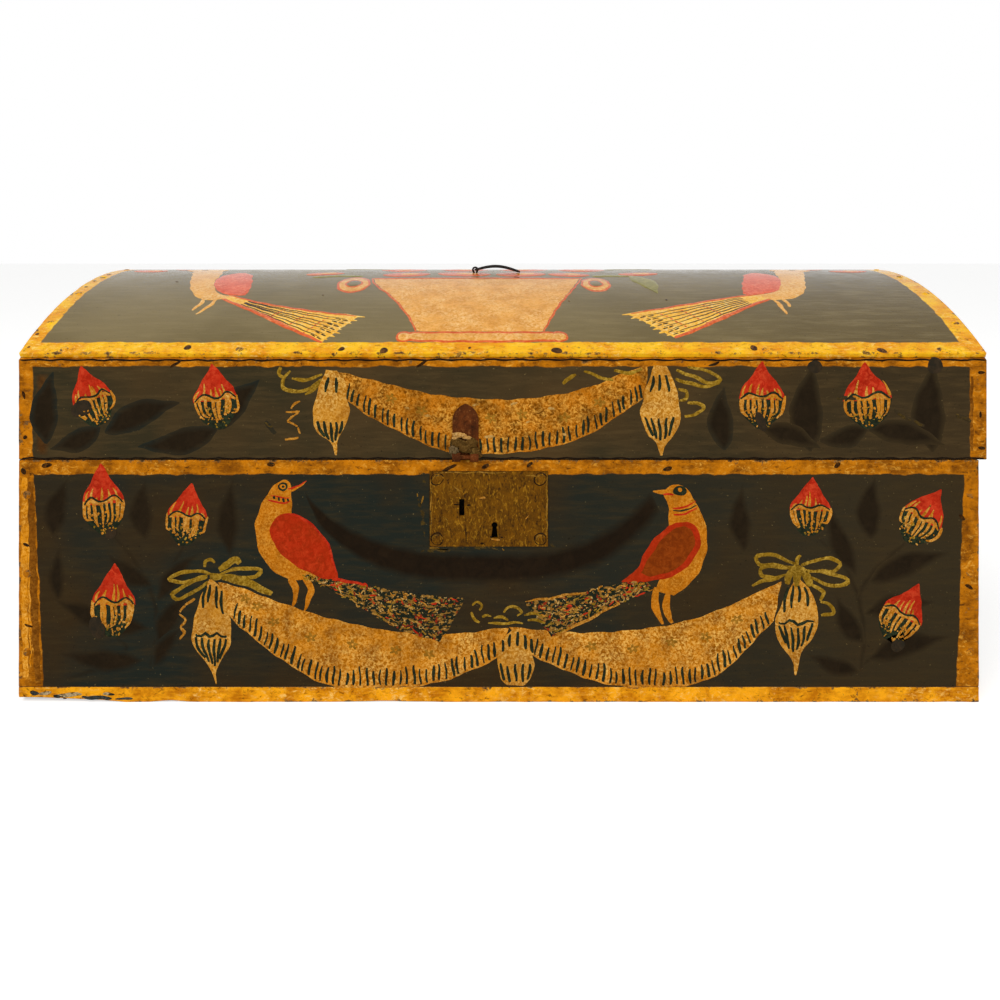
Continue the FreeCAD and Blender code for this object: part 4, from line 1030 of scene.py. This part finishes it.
def fan_tail(panel, upper, lower):
    """A spread tail between two curved edges: yellow vanes with spurs, dark gaps, red bars and red edges."""
    patch(panel, "vane", upper, lower, 0.06, 36, 11)
    a, b = through(upper, 41), through(lower, 41)
    for n, share in enumerate((0.16, 0.28, 0.4, 0.52, 0.64, 0.76, 0.88)):
        vane = a * (1 - share) + b * share
        stroke(panel, "umber_dark", vane[7:40:2] + 0.35 * math.sin(2 * n), 1.05, 0.1, 0.6, 30, 0.4)
        for k in (20, 27, 33):
            bar = [vane[k] + (b[k] - a[k]) * 0.03, vane[k] + (b[k] - a[k]) * 0.1]
            stroke(panel, "salmon", bar, 1.3, 0.13, 1.0, 8)
        for k in (35, 37):
            gap = [vane[k] + (b[k] - a[k]) * 0.04, vane[k + 2] + (b[k] - a[k]) * 0.05]
            stroke(panel, "umber_dark", gap, 1.2, 0.12, 1.0, 8)
        spur = vane[40] + (vane[40] - vane[36]) * (0.18 + 0.16 * math.sin(5 * n + 1))
        stroke(panel, "vane", [vane[36], vane[39], spur], 3.6, 0.07 + 0.003 * n, 0.5, 10, 0.7)
    stroke(panel, "vane", [a[35], a[39], a[40] + (a[40] - a[37]) * 0.5], 3.0, 0.098, 0.5, 12, 0.7)
    stroke(panel, "salmon", upper, 2.4, 0.14, 0.8, 30, 0.4)
    stroke(panel, "salmon", lower, 3.2, 0.145, 1.0, 30, 0.3)


fan_tail(panel, [(-157, 68), (-140.4, 57.6), (-109.6, 45.6), (-77, 37)],
         [(-160, 62.5), (-142, 47.7), (-117.3, 27.3), (-93.4, 9.3)])
fan_tail(panel, [(155, 70), (138.2, 65), (115, 56), (91, 47), (71.5, 40)],
         [(157, 62.5), (135.3, 45.4), (113.2, 27.3), (93.4, 13.6)])

# Nail heads that have lost their paint, and chips along the front edge
bare_heads = ((-246, 83.5, 2.4), (-246.5, 97.5, 2.4), (-245.5, 107, 3.4), (-246, 119, 3), (-247.5, 18, 2.4),
              (-247, 5, 2), (-163.5, 4.6, 4.6), (-82.6, 3.4, 4), (133.5, 4.4, 4.6), (-15, 4.6, 2.2),
              (-60, 2.4, 5), (11, 109, 3.4), (-196, 96, 2), (96, 60, 1.6), (-102, 68, 1.6), (40, 58, 1.2),
              (30, 2, 6), (200, 2, 5))
for k, (x, s, wide) in enumerate(bare_heads):
    oval(panel, "chipped_top", (x, s), (wide, wide * 0.8), 10 * k, 0.1 + 0.003 * k)

# Ornament of the two ends, which don't show in the photograph: a modest spray of rosebuds in the same hand
# and the same oil colours.


def on_left_end(grid, height):
    """The left end's face: back to front, and up."""
    return np.stack([left_low[0] + paint_depth - height, -grid[..., 0], grid[..., 1]], -1)


def on_right_end(grid, height):
    """The right end's face: front to back, and up."""
    return np.stack([right_high[0] + height, grid[..., 0], grid[..., 1]], -1)


panels["base_left"] = (on_left_end, "base", "painted_beech")
panels["base_right"] = (on_right_end, "base", "painted_beech")
end_leaves = (((-10, 34), (-84, 50), 17), ((10, 34), (84, 50), 17), ((-6, 50), (-40, 92), 15),
              ((6, 50), (40, 92), 15), ((0, 20), (-46, 22), 13), ((0, 20), (46, 22), 13))
for panel in ("base_left", "base_right"):
    for k, (foot, tip, width) in enumerate(end_leaves):
        leaf(panel, "leaf", foot, tip, width, 0.03 + 0.002 * k)
    stroke(panel, "leaf", [(0, 16), (2, 44), (0, 70)], 4, 0.045, 1.0, 22, 0.3)
    rosebud(panel, (0, 66), (0, 106), 25)
    rosebud(panel, (-52, 42), (-68, 78), 24)
    rosebud(panel, (52, 42), (68, 78), 24)

# Paints: each is oil colour over the ground, matt on the front and glossier under the varnish of the top,
# and thin enough for the ground to come through where it is rubbed.


def oil_paint(name, main, dark, pale, worn=0.68, grain=1.6, ragged=0.5, soft=0.0, ground=front_ground,
              gloss=0.03, shine=0.4):
    """Old oil colour: clouds of two tones, pale and dark grain, and wear that bares the ground.

    Wear starts within the ragged width of the rim, and a soft paint fades out over that width.
    """
    made, tree = start_material(name)
    main, dark, pale = colour(main), colour(dark), colour(pale)
    fine = noise(tree, grain, 5.0, 0.68, shift=6.0, twist=0.8)
    clouds = add(tree, "MapRange", noise(tree, 9.0, 5.0, 0.66, shift=4.0), 0.4, 0.64, 0.0, 0.85)
    clusters = add(tree, "MapRange", noise(tree, 15.0, 3.0, shift=2.0), 0.38, 0.6, 0.35, 1.0)
    flecks = add(tree, "MapRange", fine, 0.45, 0.66, 0.0, 0.95)
    pits = add(tree, "MapRange", fine, 0.47, 0.34, 0.0, 0.75)
    base = add(tree, "MixRGB", clouds, main, dark)
    base = add(tree, "MixRGB", add(tree, "Math", clusters, flecks, operation="MULTIPLY"), base, pale)
    base = add(tree, "MixRGB", pits, base, dark)
    under = ground_colour(tree, ground)
    rim = rim_distance(tree)
    near_rim = add(tree, "MapRange", rim, 0.0, ragged, 0.12, 0.0)
    loss = add(tree, "Math", noise(tree, 2.6, 5.0, 0.72, (1.6, 1, 1), 8.0), near_rim, operation="ADD")
    base = add(tree, "MixRGB", add(tree, "MapRange", loss, worn, worn + 0.04), base, under)
    if soft:
        base = add(tree, "MixRGB", add(tree, "MapRange", rim, 0.0, soft, 1.0, 0.0), base, under)
    surface(tree, base, add(tree, "MapRange", fine, 0.3, 0.7, shine, shine + 0.14), fine, 0.1, gloss)
    return made


def speckled_paint(name):
    """Dark green crowded with flecks of tan, cream and red."""
    made, tree = start_material(name)
    fleck = noise(tree, 1.7, 3.0, 0.6, (1.7, 1, 1), 2.0)
    tan = add(tree, "MapRange", fleck, 0.52, 0.56)
    cream = add(tree, "MapRange", noise(tree, 1.5, 3.0, 0.6, shift=5.0), 0.61, 0.65)
    red = add(tree, "MapRange", noise(tree, 2.4, 2.0, 0.5, shift=8.0), 0.63, 0.67)
    base = add(tree, "MixRGB", tan, colour("#1d2116"), colour("#8e6528"))
    base = add(tree, "MixRGB", cream, base, colour("#c8a464"))
    base = add(tree, "MixRGB", red, base, colour("#8a2a12"))
    surface(tree, base, add(tree, "MapRange", fleck, 0.3, 0.7, 0.4, 0.56), fleck, 0.1, 0.03)
    return made


def top_oil(name, main, dark, pale, worn=0.78, grain=2.2):
    """Oil colour on the lid top, under its varnish."""
    return oil_paint(name, main, dark, pale, worn, grain, 0.4, 0.0, top_ground, 0.07, 0.1)


paints = {"leaf": oil_paint("paint_dark_leaf", "#231a0e", "#1e160b", "#291f12", 0.84, 5.0, 0.5, 3.4),
          "garland": oil_paint("paint_garland", "#1e150b", "#191108", "#251a0e", 0.84, 6.0, 0.5, 5.0),
          "shade": oil_paint("paint_border_shade", "#7a4508", "#5e3305", "#a2661a", 0.84, 2.0, 0.5),
          "bright": oil_paint("paint_border_bright", "#de8c0c", "#a86206", "#f8b850", 0.84, 1.6, 0.5),
          "shade_lid": oil_paint("paint_lid_shade", "#4a2e12", "#3a240e", "#5c3c18", 0.7, 3.0, 1.0, 3.0,
                                 lid_ground),
          "patina": oil_paint("paint_lost_edge", "#a8926a", "#6a5c44", "#e0cca4", 0.6, 1.6, 1.4),
          "patina_dark": oil_paint("paint_lost_edge_dark", "#34393a", "#1d2020", "#6c6c62", 0.6, 1.6, 1.4),
          "chipped": oil_paint("paint_chipped", "#2c1807", "#180e05", "#6a4010", 0.6, 1.4, 1.0),
          "chipped_top": top_oil("paint_chipped_top", "#3a2009", "#1c1006", "#9a6220", 0.7, 1.6),
          "rubbed": oil_paint("paint_rubbed", "#443514", "#342811", "#6a5222", 0.5, 1.4, 1.6),
          # Pale rubbed ochre, also used for the painted highlights on the lock plate's nail heads
          "rubbed_pale": oil_paint("paint_rubbed_pale_and_highlight", "#8e6418", "#6a4a10", "#b8883c", 0.6, 1.2, 0.3),
          "tan": oil_paint("paint_tan", "#b4741a", "#86500e", "#dca650", 0.64, 1.5, 0.3),
          "ochre": oil_paint("paint_bud_ochre", "#c47a14", "#9c5c0c", "#e6b25c", 0.62, 1.4, 0.2),
          "cream": oil_paint("paint_cream", "#b8883e", "#946624", "#dcbc7c", 0.7, 1.5, 0.2),
          "red": oil_paint("paint_vermilion", "#bc2a12", "#9a1f0a", "#d24a28", 0.72, 2.4, 0.4),
          "wing": oil_paint("paint_red_wing", "#aa2608", "#942a08", "#c23a16", 0.78, 2.6, 0.4),
          "umber": oil_paint("paint_red_umber", "#843606", "#702c05", "#9a4610", 0.78, 2.4, 0.4),
          "green": oil_paint("paint_dark_green", "#20261a", "#161a10", "#3a4228", 0.72, 1.6, 0.1),
          "olive": oil_paint("paint_olive_ribbon", "#8e6a12", "#64480a", "#c09a3c", 0.68, 1.8, 0.3),
          "blossom": oil_paint("paint_olive_blossom", "#94661a", "#7a5210", "#b8842c", 0.7, 2.0, 0.2),
          "bare": oil_paint("paint_lost", "#33281a", "#26221a", "#3d3022", 0.8, 3.0, 0.2),
          "yellow": oil_paint("paint_yellow", "#c4720a", "#9a5605", "#de9a38", 0.74, 1.2, 0.3),
          "swag": oil_paint("paint_swag", "#cc7e10", "#804602", "#f8c464", 0.74, 1.5, 0.4),
          "tassel": oil_paint("paint_tassel", "#c88624", "#985c0e", "#ecbc66", 0.72, 1.5, 0.4),
          "swag_lid": oil_paint("paint_swag_lid", "#b86a06", "#542e02", "#eeae48", 0.66, 1.6, 0.4),
          # Dark dirt, also used for the painted shade of the gaps along the lid front's edges
          "seam": oil_paint("paint_dirt_and_gap_shade", "#1a1007", "#140c05", "#2a1b0c", 0.62, 3.0, 0.3),
          "speckled": speckled_paint("paint_speckled_tail"),
          "basket": top_oil("paint_basket", "#f0aa4c", "#d28a2c", "#ffd490", 0.8, 1.6),
          "salmon": top_oil("paint_salmon", "#e0602a", "#c84c1c", "#f09058"),
          "wing_light": top_oil("paint_wing_top", "#ec6038", "#d24a24", "#f89068"),
          "yellow_light": top_oil("paint_yellow_top", "#f4b04e", "#dc9230", "#ffdc98", 0.78, 1.6),
          "vane": top_oil("paint_vane_top", "#ffc238", "#e8a01e", "#ffe494", 0.78, 1.6),
          "ground": top_oil("paint_ground_top", "#80704a", "#72633e", "#8e7d55"),
          "olive_light": top_oil("paint_leaf_top", "#8f8438", "#77702c", "#a89c54"),
          "umber_dark": top_oil("paint_dark_vanes", "#3a2a14", "#2c1f0e", "#4d3a20")}
for (panel, paint), parts in skins.items():
    points, quads, rims = zip(*parts)
    starts = np.cumsum([0] + [len(part) for part in points[:-1]])
    quads = np.concatenate([part + start for part, start in zip(quads, starts)])
    body, slot = panels[panel][1:]
    skin = piece(f"paint_{panel}_{paint}", np.concatenate(points), quads, body, [paints[paint]],
                 rim=np.concatenate(rims))
    editing = bmesh.new()
    editing.from_mesh(skin.data)
    bmesh.ops.recalc_face_normals(editing, faces=editing.faces[:])
    editing.to_mesh(skin.data)
    editing.free()

# Ironwork: the lock plate painted over with the border colour, the rusted hasp leaf, forged nails and wire.
# Rust and old paint have caked round the hasp's knuckles.


def iron(name, base, rust, pale, share, rough, size=2.4, relief=0.12, twist=0.0):
    """Old iron: dark skin, rusty patches, pale rubbed spots and dark pits; twist curls them like paint."""
    made, tree = start_material(name)
    patches = noise(tree, size * 3, 5.0, 0.68)
    fine = noise(tree, size * 0.6, 6.0 - twist, 0.74 - 0.1 * twist, (1, 1, 1.3 + 0.6 * twist), 3.0, twist)
    dark_skin = add(tree, "MapRange", patches, share - 0.1, share + 0.1)
    spots = add(tree, "MapRange", fine, 0.55, 0.68, 0.0, 0.85)
    pits = add(tree, "MapRange", fine, 0.44, 0.33, 0.0, 0.8)
    look = add(tree, "MixRGB", dark_skin, colour(rust), colour(base))
    look = add(tree, "MixRGB", spots, look, colour(pale))
    look = add(tree, "MixRGB", pits, look, colour("#1c1005"))
    surface(tree, look, add(tree, "MapRange", patches, 0.3, 0.7, rough, rough + 0.2), fine, relief, 0.06)
    return made


def dress(names, material):
    """Gives CAD nodes their material."""
    for name in names:
        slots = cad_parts[name].data.materials
        slots.clear()
        slots.append(material)


plate_iron = iron("iron_painted_plate", "#573503", "#724703", "#aa7818", 0.5, 0.45, 2.8, 0.7, 1.6)
hasp_iron = iron("iron_rusted_hasp", "#43200a", "#63300f", "#8e5a2c", 0.5, 0.6, 2.8, 0.3)
nail_iron = iron("iron_forged_nail", "#37230f", "#4d2f12", "#7a5426", 0.5, 0.6)
lock_iron = iron("iron_lock_works", "#2b2622", "#4a2c1a", "#5f564e", 0.42, 0.5)
wire_iron = iron("iron_wire", "#211d1a", "#33241a", "#544d47", 0.4, 0.42)
dress(["lock_plate", "lock_plate_nails"], plate_iron)
dress(["hasp_leaf", "hasp_pin", "hasp_nails"], hasp_iron)

hasp_low = node_box("hasp_leaf")[0]


def lumps(name, places, material):
    """Caked lumps as one piece: balls squashed to size, uneven by a ripple, seated on the hasp leaf."""
    rows, columns, seat = 20, 32, 2.6
    around = np.linspace(0, 2 * np.pi, columns + 1)[:-1]
    around, down = np.meshgrid(around, np.linspace(0.02, np.pi - 0.02, rows))
    ball = [np.sin(down) * np.cos(around), np.cos(down), np.sin(down) * np.sin(around)]
    ball = np.stack(ball, -1).reshape(-1, 3)
    index = np.arange(rows * columns).reshape(rows, columns)
    beside = np.roll(index, -1, axis=1)
    sides = np.stack([index[:-1], beside[:-1], beside[1:], index[1:]], -1).reshape(-1, 4)
    points, quads = [], []
    for k, (x, z, wide, high, deep) in enumerate(places):
        uneven = 1 + 0.28 * ripple(ball * 2.0 + 3.0 * k, 0.9, k)
        uneven += 0.16 * ripple(ball * 2.0 + 5.0 * k, 0.36, k + 1.0)
        squashed = ball * uneven[:, None] * np.array([wide, deep, high]) / 2
        points.append(squashed + np.array([x, hasp_low[1] + seat, z]))
        quads.append(sides + rows * columns * k)
    piece(name, np.concatenate(points), np.concatenate(quads), "lid", [material])


crust_pale = iron("iron_crust_pale", "#a87838", "#c49450", "#e4c288", 0.5, 0.7, 1.6, 0.5, 0.8)
crust_brown = iron("iron_crust_brown", "#4a3412", "#5c4018", "#8a6a36", 0.5, 0.7, 1.6, 0.5, 0.8)
crust_grey = iron("iron_crust_grey", "#5c4a2c", "#6e583a", "#98825a", 0.5, 0.7, 1.6, 0.5, 0.8)
lumps("hasp_crust_pale", [(-20.6, 139.6, 6.6, 2.6, 1.4), (-16.4, 138.2, 4.6, 1.7, 1.2),
                          (-22.8, 138.0, 3.2, 2.0, 1.3)], crust_pale)
lumps("hasp_crust_brown", [(-21.2, 135.4, 6.6, 4.6, 2.2), (-14.2, 135.4, 6.8, 4.8, 2.2),
                           (-17.6, 132.6, 6.4, 4.6, 2.6), (-12.6, 130.8, 6.2, 4.6, 3.2),
                           (-10.8, 128.8, 4.6, 2.8, 2.4)], crust_brown)
lumps("hasp_crust_grey", [(-23.4, 131.4, 4.6, 5.2, 2.6)], crust_grey)
dress(["base_back_nails", "bottom_nails", "lid_back_nails"], nail_iron)
dress(["lid_top_nails"], top_paint)
dress(["base_front_nails"], front_paint)
dress(["lid_front_nails"], lid_paint)
dress(["lock_bolt", "bolt_guides", "bolt_spring", "lock_cover", "lock_cover_nails"], lock_iron)
dress(["left_hinge_base_eye", "right_hinge_base_eye", "left_hinge_lid_eye", "right_hinge_lid_eye",
       "ring_staple", "lift_ring"], wire_iron)

# Studio: white floor, a soft key from the upper left and a fill, and the camera level with the lid, as in
# the photograph. The floor and the room are white to the camera and in reflections.

floor_mesh = bpy.data.meshes.new("floor")
floor_mesh.from_pydata([(-6, -6, 0), (6, -6, 0), (6, 6, 0), (-6, 6, 0)], [], [(0, 1, 2, 3)])
floor = bpy.data.objects.new("floor", floor_mesh)
bpy.context.scene.collection.objects.link(floor)
floor_material, floor_tree = start_material("floor_white")


def seen_rays(tree):
    """1 for what the camera sees, straight, in a reflection or through glass."""
    rays = add(tree, "LightPath").node.outputs
    seen = add(tree, "Math", rays["Is Camera Ray"], rays["Is Glossy Ray"], operation="MAXIMUM")
    return add(tree, "Math", seen, rays["Is Transmission Ray"], operation="MAXIMUM")


floor_glow = add(floor_tree, "Math", seen_rays(floor_tree), 0.55, operation="MULTIPLY")
floor_shader = floor_tree.nodes["Principled BSDF"]
floor_shader.inputs["Base Color"].default_value = colour("#e6e6e4")
floor_shader.inputs["Roughness"].default_value = 0.9
floor_shader.inputs["Emission Color"].default_value = (1, 1, 1, 1)
floor_tree.links.new(floor_glow, floor_shader.inputs["Emission Strength"])
floor_mesh.materials.append(floor_material)


def soft_light(name, place, aim, size, power):
    """A square soft light at a place, turned to its aim."""
    data = bpy.data.lights.new(name, "AREA")
    data.size = size
    data.energy = power
    made = bpy.data.objects.new(name, data)
    made.location = place
    bpy.context.scene.collection.objects.link(made)
    away = np.array(place) - np.array(aim)
    made.rotation_euler = (math.acos(away[2] / np.linalg.norm(away)), 0.0, math.atan2(away[0], -away[1]))


soft_light("key", (-0.9, -1.6, 1.7), (0, -0.1, 0.1), 1.4, 26)
soft_light("fill", (1.3, -1.5, 1.1), (0, -0.1, 0.1), 1.4, 12)

world = bpy.data.worlds.new("studio")
bpy.context.scene.world = world
world.use_nodes = True
world_tree = world.node_tree
room = add(world_tree, "MixRGB", seen_rays(world_tree), (0.42, 0.42, 0.42, 1), (1, 1, 1, 1))
world_tree.links.new(room, world_tree.nodes["Background"].inputs["Color"])

camera_data = bpy.data.cameras.new("camera")
camera_data.sensor_width = 36
camera_data.lens = 36.68
camera_data.shift_x = 0.0012
camera_data.shift_y = -0.2742
camera = bpy.data.objects.new("camera", camera_data)
camera.location = (0, front / 1000 - 0.5303, 0.248)
camera.rotation_euler = (math.pi / 2, 0, 0)
bpy.context.scene.collection.objects.link(camera)
bpy.context.scene.camera = camera
bpy.context.scene.view_settings.view_transform = "Standard"
